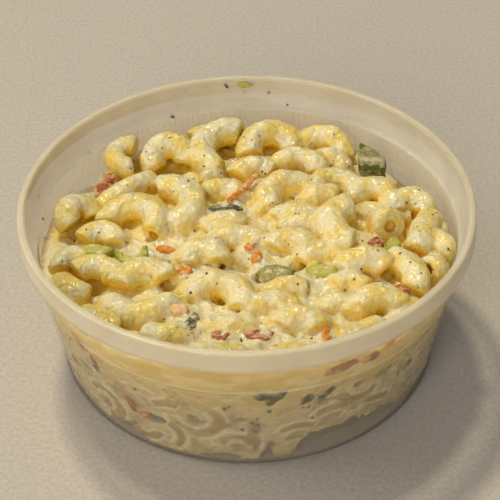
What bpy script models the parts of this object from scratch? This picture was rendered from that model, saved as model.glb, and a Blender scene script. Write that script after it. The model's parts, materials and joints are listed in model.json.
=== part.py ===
"""Macaroni salad in its round clear tub.

The origin is the middle of the tub's base, +Z is up and -Y is the side that faces the viewer.
Lengths are written in millimetres and turned to metres as each mesh is made.
"""

import math
import random

import bmesh
import bpy
from mathutils import Matrix, Vector

MM = 0.001
SEED = 41
SHARP_ANGLE = 40.0

# Tub, a shallow round deli tub
LIP_RADIUS = 58.5
TUB_HEIGHT = 45.0
BASE_RADIUS = 50.0
WALL = 0.8
LIP_EDGE_RADIUS = 56.3
LIP_ROUND = 0.6
SKIRT_FOOT = 39.3
SKIRT_CEILING = 43.9
LEDGE_HEIGHT = 36.4
LEDGE_RADIUS = 54.0
LEDGE_STEP = 1.2
LEDGE_RISE = 0.9
LEDGE_SHIFT = 0.4
RIB_FOOT = 29.7
RIB_RADIUS = 53.8
BASE_CORNER = 1.8
TUB_SIDES = 64

# Room left between pieces that touch
GAP = 0.3

# Heap of salad: the level of the tubes' centre lines, and the dressing below them
HEAP_LEVEL = 34.6
CREAM_CROWN = 33.8
CREAM_SLOPE_START = 20.0
CREAM_SHOULDER = 46.0
CREAM_SHOULDER_LEVEL = 31.6
EDGE_DROP = 2.9
FRONT_EDGE_DROP = 0.6
FRONT_ANGLE = -90.0
FRONT_SPREAD = 70.0
CREAM_WAVE = 0.45
CREAM_WAVE_RUN = (20.3, 23.3)
CREAM_WAVE_START = (1.3, -0.6)

# The core's skin: points round it, levels up its side and shares of its radius over its top
CREAM_SIDES = 40
CORE_LEVELS = (7.0, 12.0, 19.0, 26.0)
CORE_SHARES = (0.93, 0.84, 0.68, 0.5, 0.28)

# Hollow at the foot of the wall, where the salad leaves the plastic
VOID_ANGLE = -35.0
VOID_SPREAD = 42.0
VOID_HEIGHT = 12.0
VOID_DEPTH = 2.6

# Elbow macaroni
TUBE_SIDES = 8
TUBE_STEP = 4.6
TUBE_LEAST_STEPS = 3
BORE_SHARE = 0.42
BORE_DEPTH = 2.4
BORE_LARGEST_SHARE = 0.3

# Each elbow: one end, the middle of its bend, its other end, and its width.
# A place is x, y and the rise above the heap's level.
ELBOWS = [
    ((-24.6, 31.0, -3.0), (-20.8, 37.3, 1.3), (-16.5, 32.5, -2.5), 7.3),
    ((-38.5, 12.0, -1.5), (-32.2, 17.8, 0.0), (-25.4, 23.8, -1.0), 6.8),
    ((-30.5, 38.0, 0.5), (-36.0, 34.5, 0.0), (-31.0, 30.0, -1.0), 6.3),
    ((-1.5, 42.5, 1.5), (-12.0, 36.5, 1.0), (-7.0, 27.0, -1.0), 8.0),
    ((1.0, 35.5, -2.0), (6.5, 43.0, 1.0), (13.0, 37.0, -2.0), 7.8),
    ((15.0, 37.5, -2.5), (22.0, 41.5, 0.0), (26.0, 34.5, -2.0), 7.5),
    ((8.0, 28.0, -1.0), (14.0, 31.0, 0.5), (19.5, 26.0, -1.5), 7.5),
    ((18.5, 29.5, -2.0), (22.8, 32.5, -0.5), (25.6, 27.5, -2.5), 6.6),
    ((-3.0, 24.5, -0.5), (1.5, 27.5, 0.5), (7.0, 26.0, -0.5), 6.8),
    ((-9.0, 20.0, 1.5), (-9.0, 25.5, -1.5), (-5.0, 29.5, -5.0), 7.0),
    ((-10.5, 15.0, -0.5), (-6.0, 17.5, 0.5), (-1.5, 15.0, -0.5), 6.5),
    ((6.0, 8.5, -0.5), (9.0, 18.0, 1.5), (16.5, 18.0, 0.0), 7.6),
    ((18.0, 16.5, -0.5), (24.0, 22.0, 0.0), (29.0, 17.0, -1.0), 7.0),
    ((15.5, 10.0, 0.0), (19.0, 13.5, 0.5), (24.0, 14.0, 0.0), 7.2),
    ((27.5, 7.0, 1.5), (21.5, 0.5, 1.5), (27.0, -7.5, 0.5), 8.6),
    ((29.0, 13.0, -2.0), (33.5, 17.5, 0.5), (37.5, 12.0, -2.0), 7.0),
    ((28.5, 7.5, -2.5), (33.0, 10.0, -2.0), (36.5, 6.0, -2.5), 6.5),
    ((39.5, 8.0, -1.5), (42.5, 13.5, 0.0), (46.0, 7.5, -1.5), 6.5),
    ((37.0, -0.5, 1.5), (37.0, 5.5, -2.0), (42.0, 9.5, -5.0), 8.8),
    ((48.0, 6.0, -1.5), (45.5, -1.5, 0.5), (43.0, -9.5, 0.0), 7.2),
    ((43.5, -6.5, -1.5), (47.5, -3.5, -0.5), (49.0, -9.5, -1.5), 6.5),
    ((45.0, -17.5, 1.0), (47.5, -12.0, -2.5), (44.5, -6.5, -5.0), 7.5),
    ((24.0, -18.0, 0.0), (29.0, -14.5, 1.5), (35.0, -16.5, 0.0), 7.8),
    ((36.0, -13.0, -0.5), (41.0, -17.0, 1.0), (41.0, -24.5, -0.5), 7.2),
    ((27.5, -32.0, 0.0), (32.0, -28.0, 1.0), (37.5, -30.5, -0.5), 7.2),
    ((21.5, -22.8, -0.5), (25.5, -21.8, 0.0), (29.3, -23.8, -0.5), 6.6),
    ((-46.0, 3.0, 0.0), (-45.0, 10.0, 1.5), (-40.0, 9.0, -2.0), 6.8),
    ((-42.0, -1.5, -1.0), (-38.0, 0.5, 0.0), (-33.5, -3.5, -1.0), 6.6),
    ((-36.5, 4.5, -1.0), (-30.2, 9.2, 1.5), (-24.0, -1.0, 0.0), 7.8),
    ((-23.5, 18.0, 0.5), (-14.5, 11.0, 1.6), (-20.0, 1.5, 0.0), 8.0),
    ((-43.0, -14.5, -1.0), (-37.5, -13.5, 0.0), (-33.0, -17.5, -0.5), 6.8),
    ((-47.5, -13.0, -1.5), (-45.5, -9.0, -0.5), (-41.0, -10.0, -1.0), 5.8),
    ((-46.8, -17.0, -2.0), (-43.6, -21.6, -1.0), (-39.4, -23.6, -1.5), 6.8),
    ((-20.5, -21.0, 0.5), (-26.0, -18.0, 1.5), (-32.0, -21.5, 0.0), 7.8),
    ((-34.2, -26.5, -1.0), (-27.0, -32.6, 0.0), (-18.4, -28.0, 0.0), 7.6),
    ((-24.5, -38.5, -1.5), (-20.0, -40.0, -0.5), (-15.5, -38.0, -1.0), 7.0),
    ((-14.8, -13.4, -0.5), (-11.2, -9.4, 1.0), (-6.6, -13.0, -0.5), 7.2),
    ((-11.0, 0.5, -0.5), (-6.0, 2.5, 0.5), (-1.0, 2.0, -0.5), 6.8),
    ((-9.0, -6.0, -0.5), (-3.0, -3.5, 0.5), (3.5, -5.5, -0.5), 7.2),
    ((6.0, -8.0, 0.0), (13.0, -6.0, 1.0), (14.5, -13.5, -1.0), 7.0),
    ((16.5, -11.5, -1.0), (20.5, -9.5, 0.0), (25.0, -12.0, -1.0), 6.8),
    ((8.0, 4.5, -1.0), (13.0, 7.0, 0.0), (18.0, 5.0, -1.0), 6.8),
    ((9.5, -0.5, -0.5), (15.0, 1.5, 0.5), (20.0, -3.5, -1.0), 6.6),
    ((-15.5, -27.5, 0.0), (-7.5, -22.6, 1.5), (-1.0, -32.0, 0.0), 7.2),
    ((-9.5, -35.5, -1.0), (-5.0, -37.5, -0.5), (0.5, -36.0, -1.0), 6.8),
    ((1.5, -33.0, -0.5), (6.0, -29.0, 1.0), (10.5, -33.0, -0.5), 6.4),
    ((4.0, -27.0, -0.5), (9.0, -24.5, 0.5), (14.5, -24.0, 0.0), 6.5),
    ((8.0, -38.0, -0.5), (12.5, -35.5, 0.5), (17.5, -38.5, -0.5), 7.4),
    ((19.0, -32.5, -1.0), (22.5, -29.0, 0.0), (26.0, -33.5, -1.0), 6.2),
    ((22.0, -40.5, -1.5), (27.0, -39.5, -1.0), (32.0, -36.0, -1.5), 6.8),
    ((-40.0, -30.0, -1.5), (-36.0, -34.0, -1.0), (-31.0, -36.0, -1.5), 6.8),
    ((-13.0, -45.0, -1.5), (-7.0, -47.0, -1.0), (-1.0, -46.0, -1.5), 6.4),
    ((5.0, -46.5, -1.5), (10.5, -47.0, -1.0), (16.0, -45.5, -1.5), 6.4),
    ((34.0, -36.0, -2.0), (37.5, -32.5, -1.5), (41.0, -27.5, -2.0), 6.0),
    ((-15.0, 44.0, -2.0), (-9.5, 46.5, -1.5), (-3.5, 47.0, -2.5), 6.2),
]

# Diced vegetables: name, place, length, width and thickness, heading and lean in degrees, material
CHUNKS = [
    ("celery_left", (-38.5, -8.2, 0.6), (9.6, 3.8, 2.8), -4.0, 14.0, "celery"),
    ("celery_right", (37.3, -7.6, 0.8), (4.6, 3.6, 2.6), 60.0, 10.0, "celery"),
    ("celery_front", (18.6, -18.8, 1.6), (8.4, 4.6, 2.6), -8.0, 16.0, "celery"),
    ("pickle_dice", (7.0, -18.4, 0.2), (9.6, 6.4, 3.2), 8.0, 12.0, "pickle"),
    ("olive_sliver", (-6.0, 7.8, 1.2), (9.6, 2.8, 2.2), 2.0, 8.0, "olive"),
    ("olive_front", (-13.8, -37.2, 1.0), (7.6, 3.2, 2.4), 68.0, 10.0, "olive"),
    ("carrot_flake_left", (-20.6, -8.6, 1.2), (5.4, 2.4, 1.6), -8.0, 6.0, "carrot"),
    ("carrot_dice_left", (-16.0, -17.6, 1.0), (4.6, 3.4, 2.4), 28.0, 12.0, "carrot"),
    ("carrot_dice_back", (0.8, -8.4, 2.0), (2.8, 2.0, 1.6), 20.0, 6.0, "carrot"),
    ("carrot_dice_mid", (2.4, -12.4, 1.4), (3.6, 3.0, 2.2), 55.0, 10.0, "carrot"),
    ("carrot_front", (18.6, -42.2, 1.2), (4.8, 2.4, 2.0), 80.0, 8.0, "carrot"),
    ("carrot_pale", (-16.6, -33.4, 2.2), (5.2, 3.6, 2.0), -12.0, 10.0, "pale_carrot"),
    ("pepper_red_left", (-38.2, 19.6, -0.6), (5.4, 4.8, 1.8), 24.0, 28.0, "red_pepper"),
    ("pepper_red_small", (-36.8, 24.6, -0.6), (4.2, 2.4, 1.6), 72.0, 10.0, "red_pepper"),
    ("pepper_red_right", (32.8, -6.0, 0.4), (4.4, 3.8, 1.8), 52.0, 12.0, "red_pepper"),
    ("pepper_red_cream", (36.4, -26.4, 1.4), (6.0, 4.0, 1.8), 4.0, 12.0, "red_pepper"),
    ("pepper_red_front", (2.6, -41.4, 1.0), (6.8, 3.6, 1.8), 4.0, 12.0, "red_pepper"),
    ("pepper_red_front_left", (-6.6, -41.6, 1.0), (4.6, 3.0, 1.8), -4.0, 10.0, "red_pepper"),
]

# Curved vegetables: name, two ends round a middle, width and thickness, material
STRIPS = [
    ("celery_crescent", (-32.6, -9.4, 0.8), (-29.8, -13.2, 1.0), (-26.2, -8.2, 0.8), 2.6, 2.6, "celery"),
    ("carrot_shred", (-4.6, 10.6, 2.4), (-0.4, 15.6, 3.2), (2.8, 20.4, 3.2), 1.7, 1.3, "carrot"),
]
CHUNK_SIDES = 8
CHUNK_WOBBLE = 0.12
CHUNK_SQUARENESS = 3
CHUNK_FACE_SHARE = 0.8
STRIP_STEPS = 4
STRIP_TIP = 0.62
STRIP_CORNER = 0.6

# Slab of green pepper that leans on the far elbows: the corners of its outline, seen from the front
PEPPER_PLACE = (34.2, 30.0, 1.0)
PEPPER_OUTLINE = [(3.8, -0.8), (3.3, 0.7), (-3.2, 4.5), (-3.9, 0.9), (-3.3, -3.5), (0.4, -4.2), (3.7, -4.6)]
PEPPER_LEAST_REACH = 2.2
PEPPER_THICKNESS = 2.8
PEPPER_FACE_SHARE = 0.88
PEPPER_HEADING = -4.0
PEPPER_LEAN = 62.0

COLOURS = {
    "clear_plastic": ((0.62, 0.55, 0.44, 1.0), 0.32),
    "pasta": ((0.84, 0.68, 0.34, 1.0), 0.4),
    "celery": ((0.45, 0.47, 0.12, 1.0), 0.4),
    "pickle": ((0.3, 0.27, 0.06, 1.0), 0.4),
    "olive": ((0.12, 0.11, 0.09, 1.0), 0.4),
    "carrot": ((0.8, 0.26, 0.06, 1.0), 0.4),
    "pale_carrot": ((0.82, 0.5, 0.28, 1.0), 0.4),
    "red_pepper": ((0.5, 0.13, 0.06, 1.0), 0.35),
    "green_pepper": ((0.1, 0.13, 0.01, 1.0), 0.3),
}


def clear_scene():
    for obj in list(bpy.data.objects):
        bpy.data.objects.remove(obj, do_unlink=True)


def make_material(name):
    colour, roughness = COLOURS[name]
    material = bpy.data.materials.new(name)
    material.use_nodes = True
    shader = material.node_tree.nodes["Principled BSDF"]
    shader.inputs["Base Color"].default_value = colour
    shader.inputs["Roughness"].default_value = roughness
    shader.inputs["Metallic"].default_value = 0.0
    return material


def add_mesh(name, bm, material_name):
    """Turns millimetres to metres and puts the mesh in the scene."""
    bmesh.ops.recalc_face_normals(bm, faces=bm.faces)
    bmesh.ops.scale(bm, vec=(MM, MM, MM), verts=bm.verts)
    bmesh.ops.triangulate(bm, faces=bm.faces)
    mesh = bpy.data.meshes.new(name)
    bm.to_mesh(mesh)
    bm.free()
    mesh.shade_smooth()
    mesh.set_sharp_from_angle(angle=math.radians(SHARP_ANGLE))
    mesh.materials.append(make_material(material_name))
    obj = bpy.data.objects.new(name, mesh)
    bpy.context.scene.collection.objects.link(obj)
    return obj


def skin_rings(rings, start, end):
    """Closes a skin over rings of equal count, with a point at each end."""
    bm = bmesh.new()
    rows = [[bm.verts.new(point) for point in ring] for ring in rings]
    count = len(rows[0])
    for lower, upper in zip(rows, rows[1:]):
        for i in range(count):
            j = (i + 1) % count
            bm.faces.new((lower[i], lower[j], upper[j], upper[i]))
    for point, row in ((start, rows[0]), (end, rows[-1])):
        pole = bm.verts.new(point)
        for i in range(count):
            bm.faces.new((pole, row[i], row[(i + 1) % count]))
    return bm


def circle_ring(radius, height, sides):
    turns = [2 * math.pi * i / sides for i in range(sides)]
    return [(radius * math.cos(t), radius * math.sin(t), height) for t in turns]


def inner_profile():
    """The inside of the tub's wall as radius and height, from its floor up to its lip."""
    return [
        (BASE_RADIUS - BASE_CORNER, WALL),
        (BASE_RADIUS - WALL, BASE_CORNER),
        (RIB_RADIUS, RIB_FOOT),
        (LEDGE_RADIUS, LEDGE_HEIGHT),
        (LEDGE_RADIUS + LEDGE_STEP, LEDGE_HEIGHT + LEDGE_RISE),
        (LIP_EDGE_RADIUS, TUB_HEIGHT),
    ]


def inner_radius(height):
    """The tub's inner radius at a height."""
    profile = inner_profile()
    for (low_radius, low), (high_radius, high) in zip(profile, profile[1:]):
        if height <= high:
            share = (height - low) / (high - low)
            return low_radius + share * (high_radius - low_radius)
    return LIP_EDGE_RADIUS


def foot_corner():
    """The rounded edge of the tub's foot, from its underside to its wall."""
    points = []
    for turn in (0.0, math.pi / 4, math.pi / 2):
        radius = BASE_RADIUS - BASE_CORNER * (1 - math.sin(turn))
        points.append((radius, BASE_CORNER * (1 - math.cos(turn))))
    return points


def outer_profile():
    """The outside of the tub: up the wall, under the skirt of the lip and over its top."""
    skirt_radius = LIP_RADIUS - WALL
    return foot_corner() + [
        (RIB_RADIUS + WALL, RIB_FOOT),
        (LEDGE_RADIUS + WALL, LEDGE_HEIGHT - LEDGE_SHIFT),
        (LEDGE_RADIUS + LEDGE_STEP + WALL, LEDGE_HEIGHT + LEDGE_RISE - LEDGE_SHIFT),
        (inner_radius(SKIRT_CEILING) + WALL, SKIRT_CEILING),
        (skirt_radius, SKIRT_CEILING),
        (skirt_radius, SKIRT_FOOT),
        (LIP_RADIUS, SKIRT_FOOT),
        (LIP_RADIUS, TUB_HEIGHT - LIP_ROUND),
        (LIP_RADIUS - LIP_ROUND, TUB_HEIGHT),
    ]


def make_tub():
    outline = outer_profile() + inner_profile()[::-1]
    rings = [circle_ring(radius, height, TUB_SIDES) for radius, height in outline]
    bm = skin_rings(rings, (0, 0, 0), (0, 0, WALL))
    return add_mesh("tub", bm, "clear_plastic")


def smooth(value):
    value = min(max(value, 0.0), 1.0)
    return value * value * (3 - 2 * value)


def turn_between(angle, other):
    return abs((angle - other + 180) % 360 - 180)


def void_depth(angle, height):
    """How far the salad stands back from the wall, mostly low down on the right."""
    near = smooth(1 - turn_between(math.degrees(angle), VOID_ANGLE) / VOID_SPREAD)
    return VOID_DEPTH * near * smooth(1 - height / VOID_HEIGHT)


def cream_level(x, y):
    """Height of the dressing between the elbows."""
    reach = math.hypot(x, y)
    angle = math.degrees(math.atan2(y, x))
    front = smooth(1 - turn_between(angle, FRONT_ANGLE) / FRONT_SPREAD)
    drop = EDGE_DROP + front * (FRONT_EDGE_DROP - EDGE_DROP)
    slope = smooth((reach - CREAM_SLOPE_START) / (CREAM_SHOULDER - CREAM_SLOPE_START))
    level = CREAM_CROWN + slope * (CREAM_SHOULDER_LEVEL - CREAM_CROWN)
    level -= drop * smooth((reach - CREAM_SHOULDER) / (RIB_RADIUS - CREAM_SHOULDER))
    across = math.sin(2 * math.pi * x / CREAM_WAVE_RUN[0] + CREAM_WAVE_START[0])
    along = math.cos(2 * math.pi * y / CREAM_WAVE_RUN[1] + CREAM_WAVE_START[1])
    return level + CREAM_WAVE * across * along


def make_core():
    """The heap's body: dressing and hidden pasta up to the level between the elbows."""
    angles = [2 * math.pi * i / CREAM_SIDES for i in range(CREAM_SIDES)]
    floor = WALL + GAP
    brim = RIB_RADIUS - GAP
    rings = [circle_ring(inner_radius(floor) / 2, floor, CREAM_SIDES)]
    for height in (floor, BASE_CORNER + GAP) + CORE_LEVELS:
        ring = []
        for angle in angles:
            radius = inner_radius(height) - GAP - void_depth(angle, height)
            ring.append((radius * math.cos(angle), radius * math.sin(angle), height))
        rings.append(ring)
    edge = []
    for angle in angles:
        height = cream_level(brim * math.cos(angle), brim * math.sin(angle))
        radius = inner_radius(height) - GAP
        edge.append((radius * math.cos(angle), radius * math.sin(angle), height))
    rings.append(edge)
    for share in CORE_SHARES:
        ring = []
        for angle in angles:
            x = brim * share * math.cos(angle)
            y = brim * share * math.sin(angle)
            ring.append((x, y, cream_level(x, y)))
        rings.append(ring)
    return skin_rings(rings, (0, 0, floor), (0, 0, cream_level(0, 0)))


def arc_through(first, middle, last):
    """The circle through three points, as a function of the share of the way along it."""
    to_first = first - middle
    to_last = last - middle
    normal = to_first.cross(to_last)
    lean = to_first.length_squared * to_last - to_last.length_squared * to_first
    centre = middle + lean.cross(normal) / (2 * normal.length_squared)
    radius = (first - centre).length
    axis = normal.normalized()
    out = (first - centre) / radius
    along = axis.cross(out)

    def turn_of(point):
        offset = point - centre
        return math.atan2(offset.dot(along), offset.dot(out)) % (2 * math.pi)

    sweep = turn_of(last)
    if turn_of(middle) > sweep:
        sweep -= 2 * math.pi

    def place(share):
        turn = sweep * share
        spoke = out * math.cos(turn) + along * math.sin(turn)
        tangent = (along * math.cos(turn) - out * math.sin(turn)) * math.copysign(1, sweep)
        return centre + radius * spoke, tangent, spoke, axis

    return place, radius * abs(sweep)


def heap_point(place):
    return Vector((place[0], place[1], HEAP_LEVEL + place[2]))


def tube_ring(centre, across, up, radius):
    turns = [2 * math.pi * i / TUBE_SIDES for i in range(TUBE_SIDES)]
    return [centre + radius * (math.cos(t) * across + math.sin(t) * up) for t in turns]


def make_elbow(first, middle, last, width):
    """A bent tube with a tapered blind hole in each end."""
    place, length = arc_through(heap_point(first), heap_point(middle), heap_point(last))
    radius = width / 2
    bore = radius * BORE_SHARE
    steps = max(TUBE_LEAST_STEPS, round(length / TUBE_STEP))
    depth = min(BORE_DEPTH / length, BORE_LARGEST_SHARE)
    centre, _, across, up = place(0.0)
    rings = [tube_ring(centre, across, up, bore)]
    for step in range(steps + 1):
        centre, _, across, up = place(step / steps)
        rings.append(tube_ring(centre, across, up, radius))
    rings.append(tube_ring(centre, across, up, bore))
    return skin_rings(rings, place(depth)[0], place(1 - depth)[0])


def chunk_mesh(size, grow, draw):
    """A diced piece: an uneven outline with rounded edges, lying flat about its middle."""
    length, width, thickness = (value + 2 * grow for value in size)
    wobble = [1 + draw.uniform(-CHUNK_WOBBLE, CHUNK_WOBBLE) for _ in range(CHUNK_SIDES)]
    power = CHUNK_SQUARENESS
    rings = []
    for share, level in ((CHUNK_FACE_SHARE, -0.5), (1.0, 0.0), (CHUNK_FACE_SHARE, 0.5)):
        ring = []
        for i in range(CHUNK_SIDES):
            turn = 2 * math.pi * (i + 0.5) / CHUNK_SIDES
            square = (abs(math.cos(turn)) ** power + abs(math.sin(turn)) ** power) ** (1 / power)
            corner = share * wobble[i] / square
            x = corner * math.cos(turn) * length / 2
            y = corner * math.sin(turn) * width / 2
            ring.append((x, y, level * thickness))
        rings.append(ring)
    return skin_rings(rings, (0, 0, -thickness / 2), (0, 0, thickness / 2))


def slab_mesh(grow):
    """The slab of green pepper, lying flat. Every side of its outline moves out by at least the margin."""
    spread = 1 + grow / PEPPER_LEAST_REACH
    half = PEPPER_THICKNESS / 2 + grow
    rings = []
    for share, height in ((PEPPER_FACE_SHARE, -half), (1.0, 0.0), (PEPPER_FACE_SHARE, half)):
        rings.append([(x * share * spread, y * share * spread, height) for x, y in PEPPER_OUTLINE])
    return skin_rings(rings, (0, 0, -half), (0, 0, half))


def strip_mesh(first, middle, last, width, thickness, grow):
    """A curved strip of vegetable, narrower at its ends."""
    place, length = arc_through(heap_point(first), heap_point(middle), heap_point(last))
    cut = STRIP_CORNER
    corners = ((-1, -cut), (-cut, -1), (cut, -1), (1, -cut), (1, cut), (cut, 1), (-cut, 1), (-1, cut))
    rings = []
    for step in range(STRIP_STEPS + 1):
        share = step / STRIP_STEPS
        reach = share * (1 + 2 * grow / length) - grow / length
        centre, _, across, up = place(reach)
        taper = STRIP_TIP + (1 - STRIP_TIP) * math.sin(math.pi * share)
        half = width / 2 * taper + grow
        rise = thickness / 2 + grow
        rings.append([centre + across * (half * a) + up * (rise * b) for a, b in corners])
    start, _, _, _ = place(-grow / length)
    end, _, _, _ = place(1 + grow / length)
    return skin_rings(rings, start, end)


def place_mesh(bm, place, heading, lean):
    """Leans a flat piece towards the viewer, turns it and lays it on the heap."""
    turn = Matrix.Rotation(math.radians(heading), 4, "Z") @ Matrix.Rotation(math.radians(lean), 4, "X")
    bmesh.ops.transform(bm, matrix=Matrix.Translation(heap_point(place)) @ turn, verts=bm.verts)
    return bm


def vegetable_meshes(grow):
    """Every vegetable as a name, a mesh grown by a margin, and its material."""
    draw = random.Random(SEED)
    pieces = []
    for name, place, size, heading, lean, material in CHUNKS:
        mesh = place_mesh(chunk_mesh(size, grow, draw), place, heading, lean)
        pieces.append((name, mesh, material))
    slab = place_mesh(slab_mesh(grow), PEPPER_PLACE, PEPPER_HEADING, PEPPER_LEAN)
    pieces.append(("pepper_green_back", slab, "green_pepper"))
    for name, first, middle, last, width, thickness, material in STRIPS:
        pieces.append((name, strip_mesh(first, middle, last, width, thickness, grow), material))
    return pieces


def join_all(target, parts, operation):
    """Joins or cuts the target with a collection of solids, and drops the collection."""
    group = bpy.data.collections.new("tools")
    bpy.context.scene.collection.children.link(group)
    for part in parts:
        bpy.context.scene.collection.objects.unlink(part)
        group.objects.link(part)
    modifier = target.modifiers.new("join", "BOOLEAN")
    modifier.operand_type = "COLLECTION"
    modifier.collection = group
    modifier.operation = operation
    modifier.solver = "EXACT"
    graph = bpy.context.evaluated_depsgraph_get()
    mesh = bpy.data.meshes.new_from_object(target.evaluated_get(graph))
    target.modifiers.remove(modifier)
    target.data = mesh
    for part in parts:
        bpy.data.objects.remove(part, do_unlink=True)
    bpy.data.collections.remove(group)


def shells(bm):
    """The mesh's separate shells, each as a list of faces."""
    left = set(bm.faces)
    found = []
    while left:
        stack = [left.pop()]
        shell = list(stack)
        while stack:
            face = stack.pop()
            for edge in face.edges:
                for other in edge.link_faces:
                    if other in left:
                        left.remove(other)
                        stack.append(other)
                        shell.append(other)
        found.append(shell)
    return found


def shell_volume(shell):
    total = 0.0
    for face in shell:
        points = [vert.co for vert in face.verts]
        for second, third in zip(points[1:], points[2:]):
            total += points[0].dot(second.cross(third)) / 6
    return total


def keep_largest_shell(obj):
    """Fills sealed hollows and drops loose scraps."""
    bm = bmesh.new()
    bm.from_mesh(obj.data)
    bmesh.ops.triangulate(bm, faces=bm.faces)
    found = sorted(shells(bm), key=shell_volume, reverse=True)
    spare = [face for shell in found[1:] for face in shell]
    bmesh.ops.delete(bm, geom=spare, context="FACES")
    loose = [vert for vert in bm.verts if not vert.link_faces]
    bmesh.ops.delete(bm, geom=loose, context="VERTS")
    bm.to_mesh(obj.data)
    bm.free()
    obj.data.shade_smooth()
    obj.data.set_sharp_from_angle(angle=math.radians(SHARP_ANGLE))


def make_salad():
    core = add_mesh("salad", make_core(), "pasta")
    tubes = []
    for number, (first, middle, last, width) in enumerate(ELBOWS):
        tubes.append(add_mesh(f"elbow_{number}", make_elbow(first, middle, last, width), "pasta"))
    join_all(core, tubes, "UNION")
    keep_largest_shell(core)
    pockets = []
    for name, mesh, material in vegetable_meshes(GAP):
        pockets.append(add_mesh(f"pocket_{name}", mesh, material))
    join_all(core, pockets, "DIFFERENCE")
    keep_largest_shell(core)
    return core


def make_vegetables():
    for name, mesh, material in vegetable_meshes(0.0):
        add_mesh(name, mesh, material)


clear_scene()
make_tub()
make_salad()
make_vegetables()
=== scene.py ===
# %% [markdown]
# # Macaroni salad in a round deli tub
#
# This lesson turns a plain imported model of a tub of macaroni salad into food that looks wet and creamy.
# The imported model is the frame: it says how large the tub is and where each piece of vegetable lies.
# We load it first and keep it, so that later steps can read its pieces and their boxes.

import json
import math
import random

import bmesh
import bpy
import numpy as np
from mathutils import Matrix, Vector
from mathutils.bvhtree import BVHTree


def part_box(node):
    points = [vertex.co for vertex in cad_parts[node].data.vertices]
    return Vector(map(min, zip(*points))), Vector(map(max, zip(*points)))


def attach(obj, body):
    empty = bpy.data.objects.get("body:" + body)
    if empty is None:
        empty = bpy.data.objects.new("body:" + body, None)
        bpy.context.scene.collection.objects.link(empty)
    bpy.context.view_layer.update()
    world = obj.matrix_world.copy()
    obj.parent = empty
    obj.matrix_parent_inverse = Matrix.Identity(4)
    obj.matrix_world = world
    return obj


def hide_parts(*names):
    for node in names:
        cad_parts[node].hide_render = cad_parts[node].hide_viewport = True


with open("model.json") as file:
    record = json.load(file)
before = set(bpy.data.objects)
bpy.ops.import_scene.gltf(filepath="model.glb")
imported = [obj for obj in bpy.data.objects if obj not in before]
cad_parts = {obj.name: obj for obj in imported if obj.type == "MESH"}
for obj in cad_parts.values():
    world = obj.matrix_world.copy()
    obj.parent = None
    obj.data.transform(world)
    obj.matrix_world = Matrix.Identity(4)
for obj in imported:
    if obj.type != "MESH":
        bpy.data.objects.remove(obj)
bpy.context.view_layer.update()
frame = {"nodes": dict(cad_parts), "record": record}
_, tub_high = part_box("tub")

# %% [markdown]
# ## The tub's sizes
#
# A deli tub is one thin moulded shell: a flat foot, a wall that leans out a little, a band of fine ribs,
# a ledge that the lid snaps over, and a wide skirted lip. All of it is turned about one axis, so a list
# of radius and height pairs describes it. The lip's size is read from the frame; the rest are its steps.

# %% Sizes in millimetres
MM = 0.001
LIP_RADIUS = tub_high[0] / MM
TUB_HEIGHT = tub_high[2] / MM
BASE_RADIUS = 50.0
WALL = 0.8
LIP_EDGE_RADIUS = 56.3
LIP_ROUND = 0.6
SKIRT_FOOT = 39.3
SKIRT_STEP = 41.2
SKIRT_CEILING = 43.9
LEDGE_HEIGHT = 36.4
LEDGE_RADIUS = 54.0
LEDGE_STEP = 1.2
LEDGE_RISE = 0.9
LEDGE_SHIFT = 0.4
RIB_FOOT = 29.7
RIB_RADIUS = 53.8
BASE_CORNER = 1.8
TUB_SIDES = 192


def inner_profile():
    return [
        (BASE_RADIUS - BASE_CORNER, WALL),
        (BASE_RADIUS - WALL, BASE_CORNER),
        (RIB_RADIUS, RIB_FOOT),
        (LEDGE_RADIUS, LEDGE_HEIGHT),
        (LEDGE_RADIUS + LEDGE_STEP, LEDGE_HEIGHT + LEDGE_RISE),
        (LIP_EDGE_RADIUS, TUB_HEIGHT),
    ]


def inner_radius(height):
    """The inner wall's radius at one height, or at an array of heights."""
    radii, heights = zip(*inner_profile())
    return np.interp(height, heights, radii)


print("lip radius", round(LIP_RADIUS, 2), "height", round(TUB_HEIGHT, 2))

# %% [markdown]
# ## Small helpers
#
# Two helpers carry most of the work on meshes. One makes a mesh object from points in millimetres, and
# one bakes what the modifiers make into a plain mesh, so that no instance or live modifier is left.


# %% Helpers for meshes
def new_object(name, data):
    """An object in the scene that holds a mesh, a camera or a light."""
    obj = bpy.data.objects.new(name, data)
    bpy.context.scene.collection.objects.link(obj)
    return obj


def mesh_object(name, points, faces, material=None, sharp=None):
    """A mesh object from points in millimetres. Faces that meet at more than the sharp angle stay crisp."""
    mesh = bpy.data.meshes.new(name)
    mesh.from_pydata((np.asarray(points, float) * MM).tolist(), [], faces)
    mesh.update()
    mesh.shade_smooth()
    if sharp is not None:
        mesh.set_sharp_from_angle(angle=math.radians(sharp))
    if material is not None:
        mesh.materials.append(material)
    return new_object(name, mesh)


def object_of(name, bm):
    """Ends a bmesh and gives an object that holds its mesh."""
    mesh = bpy.data.meshes.new(name)
    bm.to_mesh(mesh)
    bm.free()
    return new_object(name, mesh)


def circle(count):
    """Cosine and sine of evenly spaced turns round a circle."""
    turns = [2 * math.pi * i / count for i in range(count)]
    return [(math.cos(turn), math.sin(turn)) for turn in turns]


def ring_faces(rows, count):
    """Faces of a skin over rows of points, each row a closed ring."""
    faces = []
    for row in range(rows - 1):
        for i in range(count):
            j = (i + 1) % count
            low = row * count
            faces.append((low + i, low + j, low + count + j, low + count + i))
    return faces


def skin(rings, start, end):
    """Points and faces of a skin over rings, closed by a point at each end."""
    count = len(rings[0])
    points = [point for ring in rings for point in ring] + [start, end]
    faces = ring_faces(len(rings), count)
    last = (len(rings) - 1) * count
    for i in range(count):
        j = (i + 1) % count
        faces.append((len(points) - 2, j, i))
        faces.append((len(points) - 1, last + i, last + j))
    return points, faces


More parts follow.
